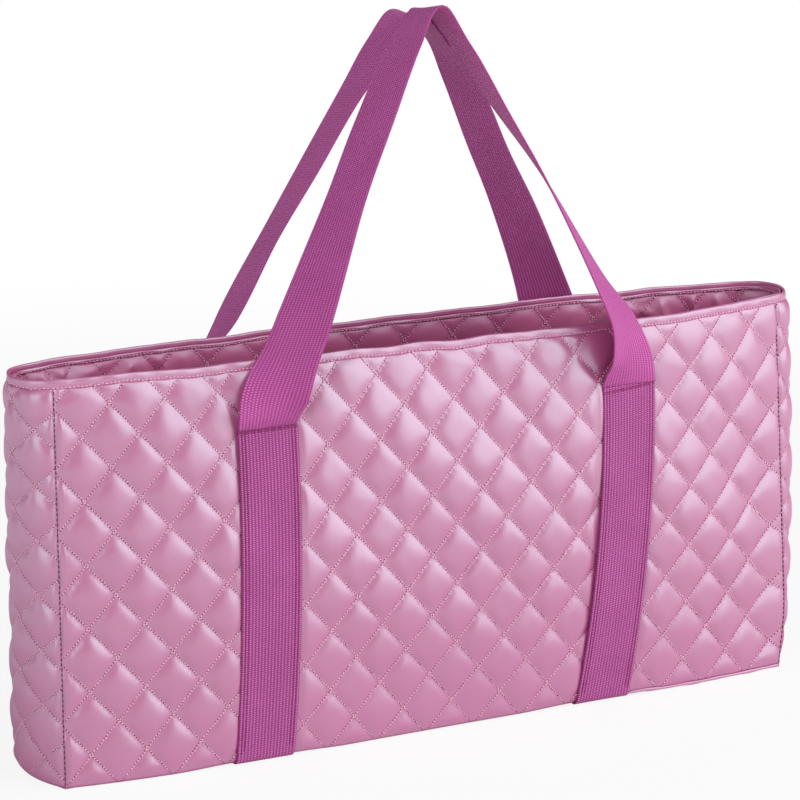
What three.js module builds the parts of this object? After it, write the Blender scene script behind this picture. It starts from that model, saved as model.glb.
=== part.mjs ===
import * as THREE from 'three';

// Quilted carry bag with two webbing handles, in millimetres.
// +X runs along the bag to its right end, -Y is the front, +Z is up, and the floor is Z = 0.

// Bag body
const seamLength = 648;        // between the vertical corner seams, along X
const rimHeight = 316;         // floor to the top of the rim
const baseDepth = 90;          // between the front and back corner seams, at the base
const rimDepth = 57;           // the same, at the rim
const baseBelly = 9;           // how far the long faces swell past the seams, at the base
const middleBelly = 27;        // the same, half way up
const rimBelly = 17;           // the same, at the rim
const baseEndBelly = 9;        // how far the end panels swell past the seams, at the base
const middleEndBelly = 20;     // the same, half way up
const rimEndBelly = 25;        // the same, at the rim

// Cloth layers
const fabricThickness = 0.7;
const waddingThickness = 5;
const hemWaddingThickness = 1.6;   // wadding squeezed inside the rim's hem
const hemHeight = 8;               // the fabric is turned double over this height at the rim
const hemEaseHeight = 3;           // over which the wadding thins out
const layerGap = 0.3;
const footHeight = 14;         // the walls' lowest row of facets, round the edge of the base

// Webbing
const webbingWidth = 50;
const webbingThickness = 1.6;
const strapSpacing = 320;      // between the middles of the left and right straps
const tackBelowRim = 50;       // the cross stitching where a handle leaves the face
const frontHandleRise = 312;   // tack line to the top of the loop
const backHandleRise = 296;
const handleFlare = 7.5;       // how far a loop swings out from the face before it leans in
const handleLean = 47;         // how far its top leans in over the opening

// Cross stitching
const tackStitchPitch = 2.7;
const tackThread = 0.8;
const tackDip = 0.4;           // share of the thread that shows between two stitches
const tackMargin = 3;          // from the webbing's edge to the first stitch
const tackDrop = 3;            // below the strap's top end

// Points along half a handle loop, from the tack line to the top. rise is a share of the
// loop's height, spread of half the strap spacing, flare and lean of the two values above.
// twist is in degrees, up to the quarter turn that lays the webbing flat at the top.
const handleStations = [
  { rise: 0, spread: 1, flare: 0, lean: 0, twist: 0 },
  { rise: 0.06, spread: 0.995, flare: 0.67, lean: 0, twist: 16 },
  { rise: 0.16, spread: 0.935, flare: 1, lean: 0, twist: 36 },
  { rise: 0.27, spread: 0.835, flare: 0.53, lean: 0, twist: 56 },
  { rise: 0.55, spread: 0.56, flare: 0, lean: 0.3, twist: 70 },
  { rise: 0.73, spread: 0.37, flare: 0, lean: 0.6, twist: 79 },
  { rise: 0.92, spread: 0.13, flare: 0, lean: 0.9, twist: 88 },
  { rise: 1, spread: 0, flare: 0, lean: 1, twist: 90 },
];

// How finely the curved pieces are faceted
const cornerColumns = 3;       // from a corner seam to the nearest strap
const strapColumns = 2;
const middleColumns = 5;       // between the two straps
const endColumns = 8;
const strapRows = 6;           // from the floor to the tack line
const handleSteps = 56;
const handleColumns = 2;

// Finishes
const fabricColour = 0xc583a8;
const liningColour = 0xb9769b;
const waddingColour = 0xf3eef0;
const webbingColour = 0xac5c98;
const threadColour = 0xe2a9c9;
const fabricRoughness = 0.4;
const waddingRoughness = 0.95;
const webbingRoughness = 0.75;
const threadRoughness = 0.6;

// The quilted cloth, from the outside in
const turnedFabric = 2 * fabricThickness;
const wallLayers = [
  {
    name: 'outer_fabric', colour: fabricColour, roughness: fabricRoughness,
    thickness: fabricThickness, hemThickness: turnedFabric,
  },
  {
    name: 'wadding', colour: waddingColour, roughness: waddingRoughness,
    thickness: waddingThickness, hemThickness: hemWaddingThickness,
  },
  {
    name: 'lining', colour: liningColour, roughness: fabricRoughness,
    thickness: fabricThickness, hemThickness: turnedFabric,
  },
];

const halfSeam = seamLength / 2;
const baseFloor = webbingThickness + layerGap;
const tackHeight = rimHeight - tackBelowRim;

const bag = new THREE.Group();

function dress(name, geometry, color, roughness) {
  const mesh = new THREE.Mesh(geometry, new THREE.MeshStandardMaterial({ color, roughness, metalness: 0 }));
  mesh.name = name;
  bag.add(mesh);
  return mesh;
}

// Evenly spaced values from start to end
function steps(start, end, count) {
  return Array.from({ length: count + 1 }, (_, i) => THREE.MathUtils.lerp(start, end, i / count));
}

// A closed sheet with thickness. place(u, v, side) gives the point for a value u of across
// and a value v of along, on the sheet's one face (side 0) or the other (side 1).
function sheet(across, along, place) {
  const positions = [];
  const triangles = [];
  const columns = across.length - 1;
  const rows = along.length - 1;
  const at = (i, j, side) => (side * (rows + 1) + j) * (columns + 1) + i;
  const quad = (a, b, c, d) => triangles.push(a, b, c, a, c, d);
  for (const side of [0, 1]) {
    along.forEach((v) => across.forEach((u) => positions.push(...place(u, v, side))));
  }
  for (let j = 0; j < rows; j++) {
    for (let i = 0; i < columns; i++) {
      quad(at(i, j, 0), at(i, j + 1, 0), at(i + 1, j + 1, 0), at(i + 1, j, 0));
      quad(at(i, j, 1), at(i + 1, j, 1), at(i + 1, j + 1, 1), at(i, j + 1, 1));
    }
  }
  for (let i = 0; i < columns; i++) {
    quad(at(i, 0, 0), at(i + 1, 0, 0), at(i + 1, 0, 1), at(i, 0, 1));
    quad(at(i, rows, 0), at(i, rows, 1), at(i + 1, rows, 1), at(i + 1, rows, 0));
  }
  for (let j = 0; j < rows; j++) {
    quad(at(0, j, 0), at(0, j, 1), at(0, j + 1, 1), at(0, j + 1, 0));
    quad(at(columns, j, 0), at(columns, j + 1, 0), at(columns, j + 1, 1), at(columns, j, 1));
  }
  const geometry = new THREE.BufferGeometry();
  geometry.setAttribute('position', new THREE.Float32BufferAttribute(positions, 3));
  geometry.setIndex(volume(positions, triangles) < 0 ? triangles.reverse() : triangles);
  geometry.computeVertexNormals();
  return geometry;
}

// Signed volume of a triangle list, negative when its faces point inward
function volume(positions, triangles) {
  const corner = (k) => new THREE.Vector3().fromArray(positions, 3 * triangles[k]);
  let sum = 0;
  for (let k = 0; k < triangles.length; k += 3) {
    sum += corner(k).dot(corner(k + 1).cross(corner(k + 2)));
  }
  return sum / 6;
}

// A smooth value through three known ones, at the base, half way up and at the rim
function upTheBag(base, middle, rim, height) {
  const t = height / rimHeight;
  return base * (1 - t) * (1 - 2 * t) + middle * 4 * t * (1 - t) + rim * t * (2 * t - 1);
}

function halfDepth(height) {
  return THREE.MathUtils.lerp(baseDepth, rimDepth, height / rimHeight) / 2;
}

// Distance from the middle plane to the outside of a long face
function faceReach(x, height) {
  const swell = 1 - Math.abs(x / halfSeam) ** 3;
  return halfDepth(height) + swell * upTheBag(baseBelly, middleBelly, rimBelly, height);
}

function endBelly(height) {
  return upTheBag(baseEndBelly, middleEndBelly, rimEndBelly, height);
}

// Points on the panels, depthIn millimetres in from the outer surface.
// sign is -1 on the front and left, +1 on the back and right.
function facePoint(sign, x, height, depthIn) {
  return [x, sign * (faceReach(x, height) - depthIn), height];
}

function endPoint(sign, turn, height, depthIn) {
  const x = halfSeam + layerGap + (endBelly(height) - depthIn) * Math.cos(turn);
  return [sign * x, (halfDepth(height) - depthIn) * Math.sin(turn), height];
}

// Where a wall layer starts and how thick it is, counted inward at a given height
function layerSpan(index, height) {
  const ease = THREE.MathUtils.clamp((height - rimHeight + hemHeight) / hemEaseHeight, 0, 1);
  const thickness = (layer) => THREE.MathUtils.lerp(layer.thickness, layer.hemThickness, ease);
  let start = 0;
  for (let k = 0; k < index; k++) {
    start += thickness(wallLayers[k]) + layerGap;
  }
  return { start, end: start + thickness(wallLayers[index]) };
}

// Lines of facets on the long faces. They follow the straps' edges and the tack line, so
// that the webbing and the cloth under it are faceted alike.
const strapMiddle = strapSpacing / 2;
const strapInner = strapMiddle - webbingWidth / 2;
const strapOuter = strapMiddle + webbingWidth / 2;
const strapLines = steps(strapInner, strapOuter, strapColumns);
const rightLines = [...strapLines, ...steps(strapOuter, halfSeam, cornerColumns).slice(1)];
const leftLines = rightLines.map((x) => -x).reverse();
const faceLines = [...leftLines, ...steps(-strapInner, strapInner, middleColumns).slice(1, -1), ...rightLines];
const endLines = steps(-Math.PI / 2, Math.PI / 2, endColumns);
const faceHeights = [footHeight, ...steps(0, tackHeight, strapRows).slice(1)];
const hemStart = rimHeight - hemHeight;
const wallHeights = [...faceHeights, hemStart, hemStart + hemEaseHeight, rimHeight];

// The base layers nest inside the wall layers, and each wall layer stands on a base layer
const baseBottoms = [];
const wallBottoms = [];
let floorLevel = baseFloor;
for (const layer of wallLayers) {
  baseBottoms.push(floorLevel);
  floorLevel += layer.thickness + layerGap;
  wallBottoms.push(floorLevel);
}

function wall(prefix, across, point) {
  wallLayers.forEach((layer, index) => {
    const geometry = sheet(across, [wallBottoms[index], ...wallHeights], (u, height, side) => {
      const span = layerSpan(index, height);
      return point(u, height, side === 0 ? span.start : span.end);
    });
    dress(`${prefix}_${layer.name}`, geometry, layer.colour, layer.roughness);
  });
}

function walls() {
  wall('front', faceLines, (x, height, depthIn) => facePoint(-1, x, height, depthIn));
  wall('back', faceLines, (x, height, depthIn) => facePoint(1, x, height, depthIn));
  wall('left_end', endLines, (turn, height, depthIn) => endPoint(-1, turn, height, depthIn));
  wall('right_end', endLines, (turn, height, depthIn) => endPoint(1, turn, height, depthIn));
}

// The outline of a base layer, anticlockwise from the front left seam. The walls lean, so
// each point is taken at the layer's bottom or top, whichever lies further in.
function baseShape(bottom, top, depthIn) {
  const further = (point) => {
    const [low, high] = [point(bottom), point(top)];
    return new THREE.Vector2(
      Math.sign(low[0]) * Math.min(Math.abs(low[0]), Math.abs(high[0])),
      Math.sign(low[1]) * Math.min(Math.abs(low[1]), Math.abs(high[1])),
    );
  };
  const turns = endLines.slice(1, -1);
  return new THREE.Shape([
    ...faceLines.map((x) => further((height) => facePoint(-1, x, height, depthIn))),
    ...turns.map((turn) => further((height) => endPoint(1, turn, height, depthIn))),
    ...faceLines.map((x) => further((height) => facePoint(1, -x, height, depthIn))),
    ...turns.map((turn) => further((height) => endPoint(-1, -turn, height, depthIn))),
  ]);
}

function base() {
  wallLayers.forEach((layer, index) => {
    const drawnIn = layerSpan(index, 0).start;
    const options = { depth: layer.thickness, bevelEnabled: false };
    const bottom = baseBottoms[index];
    const shape = baseShape(bottom, bottom + layer.thickness, drawnIn);
    const mesh = dress(`base_${layer.name}`, new THREE.ExtrudeGeometry(shape, options), layer.colour, layer.roughness);
    mesh.position.z = bottom;
  });
}

// The straps run across under the base, and up both long faces from there to the tack line
function straps() {
  for (const [side, xSign] of [['left', -1], ['right', 1]]) {
    const across = strapLines.map((x) => xSign * x);
    for (const [face, ySign] of [['front', -1], ['back', 1]]) {
      const geometry = sheet(across, [baseFloor, ...faceHeights], (x, height, skin) => (
        facePoint(ySign, x, height, -(layerGap + skin * webbingThickness))
      ));
      dress(`strap_${face}_${side}`, geometry, webbingColour, webbingRoughness);
      tack(`tack_${face}_${side}`, ySign, xSign * strapMiddle);
    }
    const under = sheet(across, [-1, 1], (x, ySign, skin) => {
      const [, y] = facePoint(ySign, x, 0, -(layerGap + webbingThickness));
      return [x, y, skin * webbingThickness];
    });
    dress(`strap_base_${side}`, under, webbingColour, webbingRoughness);
  }
}

// One row of thread across a strap, just under where the handle lifts away.
// The thread stands proud at each stitch and dips between one stitch and the next.
function tack(name, ySign, middle) {
  const stitches = Math.floor((webbingWidth - 2 * tackMargin) / tackStitchPitch);
  const halfLength = stitches * tackStitchPitch / 2;
  const across = steps(middle - halfLength, middle + halfLength, 2 * stitches);
  const height = tackHeight - tackDrop;
  const geometry = sheet(across, [-0.5, 0.5], (x, v, skin) => {
    const dip = across.indexOf(x) % 2 === 0 ? tackDip : 1;
    const outward = 2 * layerGap + webbingThickness + skin * dip * tackThread;
    return facePoint(ySign, x, height + v * tackThread, -outward);
  });
  dress(name, geometry, threadColour, threadRoughness);
}

// A loop of webbing that leaves the face flat and turns edge-on at the top
function handle(name, ySign, rise) {
  const hingeReach = faceReach(strapInner, tackHeight) + layerGap + webbingThickness / 2;
  const along = (station, xSign) => new THREE.Vector3(
    xSign * station.spread * strapMiddle,
    ySign * (hingeReach + station.flare * handleFlare - station.lean * handleLean),
    tackHeight + layerGap + station.rise * rise,
  );
  const right = handleStations.slice(0, -1).reverse();
  const centres = [...handleStations.map((s) => along(s, -1)), ...right.map((s) => along(s, 1))];
  const twists = [...handleStations.map((s) => s.twist), ...right.map((s) => 180 - s.twist)];
  const path = new THREE.CatmullRomCurve3(centres);
  const turning = new THREE.CatmullRomCurve3(twists.map((twist) => new THREE.Vector3(twist, 0, 0)));
  const frameAt = (s) => {
    const tangent = s === 0 || s === 1 ? new THREE.Vector3(0, 0, 1 - 2 * s) : path.getTangent(s);
    const turn = THREE.MathUtils.degToRad(turning.getPoint(s).x);
    const width = new THREE.Vector3(Math.cos(turn), ySign * Math.sin(turn), 0);
    width.addScaledVector(tangent, -width.dot(tangent)).normalize();
    return { centre: path.getPoint(s), width, normal: tangent.clone().cross(width) };
  };
  const half = webbingWidth / 2;
  const geometry = sheet(steps(0, 1, handleSteps), steps(-half, half, handleColumns), (s, offset, side) => {
    const { centre, width, normal } = frameAt(s);
    const point = centre.clone();
    point.addScaledVector(width, offset);
    point.addScaledVector(normal, (side - 0.5) * webbingThickness);
    return point.toArray();
  });
  dress(name, geometry, webbingColour, webbingRoughness);
}

walls();
base();
straps();
handle('front_handle', -1, frontHandleRise);
handle('back_handle', 1, backHandleRise);

export default bag;
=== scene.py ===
"""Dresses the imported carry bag: quilted satin panels, turned rim, webbing straps and loop handles."""

import logging
import math
from collections.abc import Sequence
from dataclasses import dataclass, field, replace
from enum import Enum, IntEnum

import bpy
import numpy as np
from mathutils import Matrix, Vector


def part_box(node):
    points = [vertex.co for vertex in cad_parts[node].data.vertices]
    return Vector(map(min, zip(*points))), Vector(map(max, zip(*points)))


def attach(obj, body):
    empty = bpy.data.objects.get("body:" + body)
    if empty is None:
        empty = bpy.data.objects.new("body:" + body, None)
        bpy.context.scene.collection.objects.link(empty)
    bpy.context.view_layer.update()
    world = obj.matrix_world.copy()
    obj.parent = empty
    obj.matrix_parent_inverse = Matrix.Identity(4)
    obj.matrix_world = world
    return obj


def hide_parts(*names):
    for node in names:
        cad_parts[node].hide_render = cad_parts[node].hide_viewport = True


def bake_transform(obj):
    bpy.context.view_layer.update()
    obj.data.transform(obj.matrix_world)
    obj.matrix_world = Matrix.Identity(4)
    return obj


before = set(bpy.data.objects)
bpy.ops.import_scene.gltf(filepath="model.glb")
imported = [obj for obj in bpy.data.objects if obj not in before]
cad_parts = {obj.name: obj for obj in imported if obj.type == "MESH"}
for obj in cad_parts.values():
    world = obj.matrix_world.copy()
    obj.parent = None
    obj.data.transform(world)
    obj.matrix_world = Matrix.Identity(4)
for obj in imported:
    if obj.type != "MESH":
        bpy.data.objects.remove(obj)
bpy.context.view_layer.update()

MM = 0.001
LOG = logging.getLogger("carry_bag")
Array = np.ndarray
Triple = tuple[float, float, float]
Colour = tuple[float, float, float, float]


class Side(IntEnum):
    """A side of the bag, its value the sign of the axis that points there."""

    @property
    def title(self) -> str:
        """The side's name in small letters."""
        return self.name.lower()


class Face(Side):
    """The long faces, at the two ends of Y."""

    FRONT = -1
    BACK = 1


class End(Side):
    """The short ends, at the two ends of X."""

    LEFT = -1
    RIGHT = 1


class Slot(Enum):
    """The record's material slots."""

    SATIN = "quilted_satin"
    LINING = "lining_satin"
    WEBBING = "webbing"
    THREAD = "thread"


class Body(Enum):
    """The bodies that pieces ride on."""

    BAG = "bag"
    FRONT_LOOP = "front_loop"
    BACK_LOOP = "back_loop"


# Sizes


@dataclass(frozen=True)
class BagSizes:
    """Sizes of the bag in millimetres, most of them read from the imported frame."""

    half_length: float
    rim: float
    tack: float
    strap_middle: float
    webbing_width: float
    webbing_thickness: float
    base_depth: float = 90.0
    rim_depth: float = 57.0
    floor_gap: float = 1.9
    foot_radius: float = 4.5
    topstitch_drop: float = 6.6
    flare_reach: float = 13.5
    flare_dip: float = 7.0
    flare_dip_height: float = 0.1
    flare_strip: float = 24.0

    @classmethod
    def from_frame(cls) -> "BagSizes":
        """Reads the sizes that the CAD nodes' boxes give.

        Returns:
            The sizes.
        """
        _, face_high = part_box("front_outer_fabric")
        strap_low, strap_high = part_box("strap_front_right")
        base_low, base_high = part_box("strap_base_right")
        return cls(
            half_length=face_high.x / MM,
            rim=face_high.z / MM,
            tack=strap_high.z / MM,
            strap_middle=(strap_low.x + strap_high.x) / 2 / MM,
            webbing_width=(strap_high.x - strap_low.x) / MM,
            webbing_thickness=(base_high.z - base_low.z) / MM,
        )

    @property
    def topstitch(self) -> float:
        """Height of the stitch row under the turned rim."""
        return self.rim - self.topstitch_drop

    def flare(self, z: Array | float) -> Array:
        """How far the right corner seams stand past the bag's half length, most of it low down.

        Args:
            z: Heights.

        Returns:
            Distances to the right.
        """
        t = np.clip(np.asarray(z, float) / self.rim, 0, 1)
        dip = self.flare_dip * np.exp(-((t / self.flare_dip_height) ** 2))
        return self.flare_reach * (1 - t) - dip

    def stretched(self, s: Array, z: Array) -> Array:
        """Where the cloth of a long panel lies along the bag, drawn out to the flared right seam.

        Args:
            s: Distances along the flat panel.
            z: Heights.

        Returns:
            Distances along the bag.
        """
        share = np.clip((s - self.half_length) / self.flare_strip + 1, 0, 1)
        return s + share * share * self.flare(z)

    def half_depth(self, z: Array | float) -> Array:
        """Half the distance between the front and back corner seams at a height.

        Args:
            z: Heights.

        Returns:
            Half depths at these heights.
        """
        return (self.base_depth + (self.rim_depth - self.base_depth) * np.asarray(z) / self.rim) / 2


@dataclass(frozen=True)
class Lattice:
    """The diamond quilting, as two families of slanting stitch lines at whole numbers of a and b."""

    phase: float = 6.865
    first_row: float = 295.9
    across: float = 44.2
    up: float = 49.06
    stitches_per_side: int = 13
    steps: int = 20

    def to_lines(self, s: Array, z: Array) -> tuple[Array, Array]:
        """Finds the line coordinates of points on the flat cloth.

        Args:
            s: Distances along the panel.
            z: Heights.

        Returns:
            The coordinates a and b.
        """
        i = s / self.across + self.phase
        j = (self.first_row - z) / self.up
        return i + j - 0.5, i - j - 0.5

    def from_lines(self, a: Array, b: Array) -> tuple[Array, Array]:
        """Finds the flat cloth's points from line coordinates.

        Args:
            a: Coordinates across the first family of lines.
            b: Coordinates across the second.

        Returns:
            Distances along the panel, and heights.
        """
        return ((a + b + 1) / 2 - self.phase) * self.across, self.first_row - (a - b) / 2 * self.up

    @property
    def side(self) -> float:
        """Length of a diamond's side."""
        return math.hypot(self.across, self.up) / 2

    @property
    def spacing(self) -> float:
        """Square distance between two neighbouring lines."""
        return self.across * self.up / 2 / self.side

    def columns(self, low: float, high: float) -> Array:
        """Places along the panel at which the stitch lines cross the grid's corners."""
        return aligned(low, high, self.across / self.steps, -self.phase * self.across)

    def rows(self, low: float, high: float) -> Array:
        """Heights at which the stitch lines cross the grid's corners."""
        return aligned(low, high, self.up / self.steps, self.first_row)

    def stitches(self, s_span: tuple[float, float], z_span: tuple[float, float]) -> tuple[Array, ...]:
        """Middles of all stitches of the quilting inside a rectangle.

        Args:
            s_span: Least and greatest distance along the panel.
            z_span: Least and greatest height.

        Returns:
            Distances, heights, and for each stitch the sign of its line's slope.
        """
        corners = [self.to_lines(s, z) for s in s_span for z in z_span]
        found = []
        for family in (0, 1):
            across = [c[family] for c in corners]
            along = [c[1 - family] for c in corners]
            lines = np.arange(math.ceil(min(across)), math.floor(max(across)) + 1)
            count = self.stitches_per_side
            first, last = math.floor(min(along)) * count, math.ceil(max(along)) * count
            places = (np.arange(first, last) + 0.5) / count
            line, place = (g.ravel() for g in np.meshgrid(lines, places))
            s, z = self.from_lines(line, place) if family == 0 else self.from_lines(place, line)
            inside = (s > s_span[0]) & (s < s_span[1]) & (z > z_span[0]) & (z < z_span[1])
            slope = np.full(len(s), 1.0 if family == 0 else -1.0)
            found.append((s[inside], z[inside], slope[inside]))
        return tuple(np.concatenate(part) for part in zip(*found))


# Numbers and meshes


def aligned(low: float, high: float, step: float, anchor: float) -> Array:
    """Values a step apart that pass through an anchor, closed off by the two ends.

    Args:
        low: Lowest value.
        high: Highest value.
        step: Distance between two values.
        anchor: A value that the row would pass through.

    Returns:
        The values in rising order.
    """
    slack = 0.35
    first = math.ceil((low - anchor) / step + slack)
    last = math.floor((high - anchor) / step - slack)
    return np.concatenate([[low], anchor + step * np.arange(first, last + 1), [high]])


def eased(value: Array, low: float, high: float) -> Array:
    """Eases from 0 to 1 as a value goes from low to high."""
    share = np.clip((value - low) / (high - low), 0, 1)
    return share * share * (3 - 2 * share)


def puffed(distance: Array, reach: float) -> Array:
    """Rises from 0 on a stitch row to 1 at a reach from it, steeply at first.

    Args:
        distance: Distances from the row.
        reach: Where the value comes to 1.

    Returns:
        Values from 0 to 1.
    """
    steepness = 0.85
    share = np.clip(np.abs(distance) / reach, 0, 1)
    return (1 - (1 - share) ** 2) ** steepness


def ripples(seed: int, s: Array, z: Array, wavelength: float, waves: int = 7) -> Array:
    """A gentle random unevenness, as a sum of waves in random directions.

    Args:
        seed: Seed of the directions and phases.
        s: Distances along the cloth.
        z: Heights.
        wavelength: Shortest wave.
        waves: How many waves are added.

    Returns:
        Values that stay mostly between -1 and 1.
    """
    longest = 2.4
    random = np.random.default_rng(seed)
    total = np.zeros(np.broadcast(s, z).shape)
    for _ in range(waves):
        turn, phase = random.uniform(0, 2 * math.pi, 2)
        pace = 2 * math.pi / (wavelength * random.uniform(1, longest))
        total = total + np.sin(pace * (s * math.cos(turn) + z * math.sin(turn)) + phase)
    return total / math.sqrt(waves)


def unit(vectors: Array) -> Array:
    """Scales vectors to length 1."""
    least = 1e-12
    return vectors / np.maximum(np.linalg.norm(vectors, axis=-1, keepdims=True), least)


def grid_faces(rows: int, columns: int, closed_rows: bool = False, closed_columns: bool = False) -> Array:
    """Corner numbers of the four-sided faces of a grid of points.

    Args:
        rows: Rows of points.
        columns: Points in a row.
        closed_rows: Whether the last row joins the first.
        closed_columns: Whether each row's last point joins its first.

    Returns:
        One line of four numbers for each face.
    """
    row = np.arange(rows if closed_rows else rows - 1)[:, None]
    column = np.arange(columns if closed_columns else columns - 1)[None, :]
    row_after = (row + 1) % rows
    column_after = (column + 1) % columns
    corners = (
        row * columns + column,
        row * columns + column_after,
        row_after * columns + column_after,
        row_after * columns + column,
    )
    return np.stack(np.broadcast_arrays(*corners), -1).reshape(-1, 4)


def tube_faces(rows: int, columns: int) -> list[list[int]]:
    """Faces of a tube whose cross-sections are a grid's rows, with a flat cap at each end.

    Args:
        rows: Points round one cross-section.
        columns: Cross-sections.

    Returns:
        The faces.
    """
    faces = grid_faces(rows, columns, closed_columns=True).tolist()
    faces.append(list(range(columns))[::-1])
    faces.append([(rows - 1) * columns + k for k in range(columns)])
    return faces


def running_length(line: Array) -> Array:
    """Lengths along a line of points, 0 at its first point."""
    return np.concatenate([[0], np.cumsum(np.linalg.norm(np.diff(line, axis=0), axis=1))])


def spaced(places: Array, run: Array, line: Array) -> Array:
    """Points of a line at chosen running lengths.

    Args:
        places: Where points are wanted.
        run: The running length of each of the line's own points.
        line: The line's points.

    Returns:
        The wanted points.
    """
    return np.stack([np.interp(places, run, line[:, k]) for k in range(3)], -1)


def make_mesh(name: str, points: Array, faces: Sequence[Sequence[int]]) -> bpy.types.Object:
    """Makes a smooth closed mesh with its faces outward.

    Args:
        name: The piece's name.
        points: Points in millimetres, one row each.
        faces: Corner numbers of each face, all wound the same way.

    Returns:
        The new object, linked to the scene.
    """
    points = np.asarray(points, float).reshape(-1, 3)
    faces = [list(map(int, f)) for f in faces]
    fans = np.array([(f[0], f[k], f[k + 1]) for f in faces for k in range(1, len(f) - 1)])
    a, b, c = (points[fans[:, k]] - points.mean(0) for k in range(3))
    if np.einsum("ij,ij->", a, np.cross(b, c)) < 0:
        faces = [f[::-1] for f in faces]
    mesh = bpy.data.meshes.new(name)
    mesh.from_pydata((points * MM).tolist(), [], faces)
    mesh.validate()
    mesh.shade_smooth()
    piece = bpy.data.objects.new(name, mesh)
    bpy.context.scene.collection.objects.link(piece)
    return piece


def give_uv(piece: bpy.types.Object, name: str, values: Array) -> None:
    """Stores a pair of numbers for each point as a UV map.

    Args:
        piece: The mesh object.
        name: The map's name.
        values: Two numbers for each point.
    """
    layer = piece.data.uv_layers.new(name=name)
    corners = np.zeros(len(piece.data.loops), np.int32)
    piece.data.loops.foreach_get("vertex_index", corners)
    layer.data.foreach_set("uv", np.asarray(values, np.float32).reshape(-1, 2)[corners].ravel())


def dress(
    piece: bpy.types.Object,
    material: bpy.types.Material,
    body: Body | None = Body.BAG,
    nodes: Sequence[str] = (),
) -> bpy.types.Object:
    """Gives a piece its finish and its place in the table.

    Args:
        piece: The mesh object.
        material: Its material.
        body: The body that it rides on, or None to attach it to none.
        nodes: CAD nodes that it stands for.

    Returns:
        The same object.
    """
    piece.data.materials.append(material)
    if body is not None:
        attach(piece, body.value)
    if nodes:
        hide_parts(*nodes)
    LOG.info("%s: %d faces", piece.name, len(piece.data.polygons))
    return piece


# Surfaces that the cloth is laid on


@dataclass(frozen=True)
class Surface:
    """The level of the stitch lines on one face of the bag, by distance along it and height."""

    sizes: BagSizes
    side: int

    def level(self, s: Array, z: Array) -> Array:
        """Points on the stitch lines' level.

        Args:
            s: Distances along the panel from its middle.
            z: Heights, or for the base the places from front to back.

        Returns:
            Points in the bag's frame, in millimetres.
        """
        raise NotImplementedError

    def normals(self, s: Array, z: Array) -> Array:
        """Unit vectors that point out of the bag.

        Args:
            s: Along the panel.
            z: Up the panel.

        Returns:
            The vectors.
        """
        nudge = 0.5
        along = self.level(s + nudge, z) - self.level(s - nudge, z)
        rise = self.level(s, z + nudge) - self.level(s, z - nudge)
        return unit(np.cross(along, rise)) * self.turned()

    def turned(self) -> int:
        """Sign that makes the cross product of the surface's own directions point outward."""
        raise NotImplementedError

    def place(self, s: Array, z: Array, out: Array | float) -> Array:
        """Points that stand off from the level.

        Args:
            s: Distances along the panel.
            z: Heights.
            out: How far outward, negative inward.

        Returns:
            Points in the bag's frame.
        """
        s, z, out = np.broadcast_arrays(*(np.asarray(value, float) for value in (s, z, out)))
        return self.level(s, z) + self.normals(s, z) * out[..., None]


@dataclass(frozen=True)
class LongSurface(Surface):
    """The front or back, which swells between the corner seams."""

    side: Face
    base_swell: float = 23.6
    swell_rise: float = 62.4
    swell_fall: float = 54.5
    flattening: float = 14.5
    skew_rise: float = 19.0
    skew_start: float = 4.2

    def swell(self, s: Array, z: Array) -> Array:
        """How far the panel stands out from the plane of its corner seams.

        Args:
            s: Distances along the panel.
            z: Heights.

        Returns:
            Distances outward.
        """
        x = np.clip(s / self.sizes.half_length, -1, 1)
        t = z / self.sizes.rim
        arch = 1 - x * x
        middle = self.base_swell + self.swell_rise * t - self.swell_fall * t * t
        even = arch * middle - self.flattening * arch * arch
        if self.side == Face.BACK:
            return even
        return even + x * arch * (self.skew_rise * t - self.skew_start)

    def level(self, s: Array, z: Array) -> Array:
        """Points on the stitch lines' level. See Surface.level."""
        x = self.sizes.stretched(s, z)
        return np.stack([x, self.side * (self.sizes.half_depth(z) + self.swell(s, z)), z], -1)

    def turned(self) -> int:
        """The plain product points to -Y."""
        return -self.side


@dataclass(frozen=True)
class EndSurface(Surface):
    """The left or right end, bowed between the corner seams."""

    side: End
    base_bow: float = 5.0
    middle_bow: float = 14.0
    rim_bow: float = 24.0
    half_width: float = 43.0

    def level(self, s: Array, z: Array) -> Array:
        """Points on the stitch lines' level. See Surface.level.

        Args:
            s: Along the panel.
            z: Up the panel.

        Returns:
            The points.
        """
        t = z / self.sizes.rim
        rise = (
            self.base_bow * (1 - t) * (1 - 2 * t)
            + self.middle_bow * 4 * t * (1 - t)
            + self.rim_bow * t * (2 * t - 1)
        )
        half = self.sizes.half_depth(z)
        radius = (half * half + rise * rise) / (2 * rise)
        turn = s / self.half_width * 2 * np.arctan(rise / half)
        corner = self.sizes.half_length + (self.sizes.flare(z) if self.side == End.RIGHT else 0)
        out = corner + rise - radius * (1 - np.cos(turn))
        return np.stack([self.side * out, radius * np.sin(turn), z], -1)

    def turned(self) -> int:
        """The plain product points to +X."""
        return self.side


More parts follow.
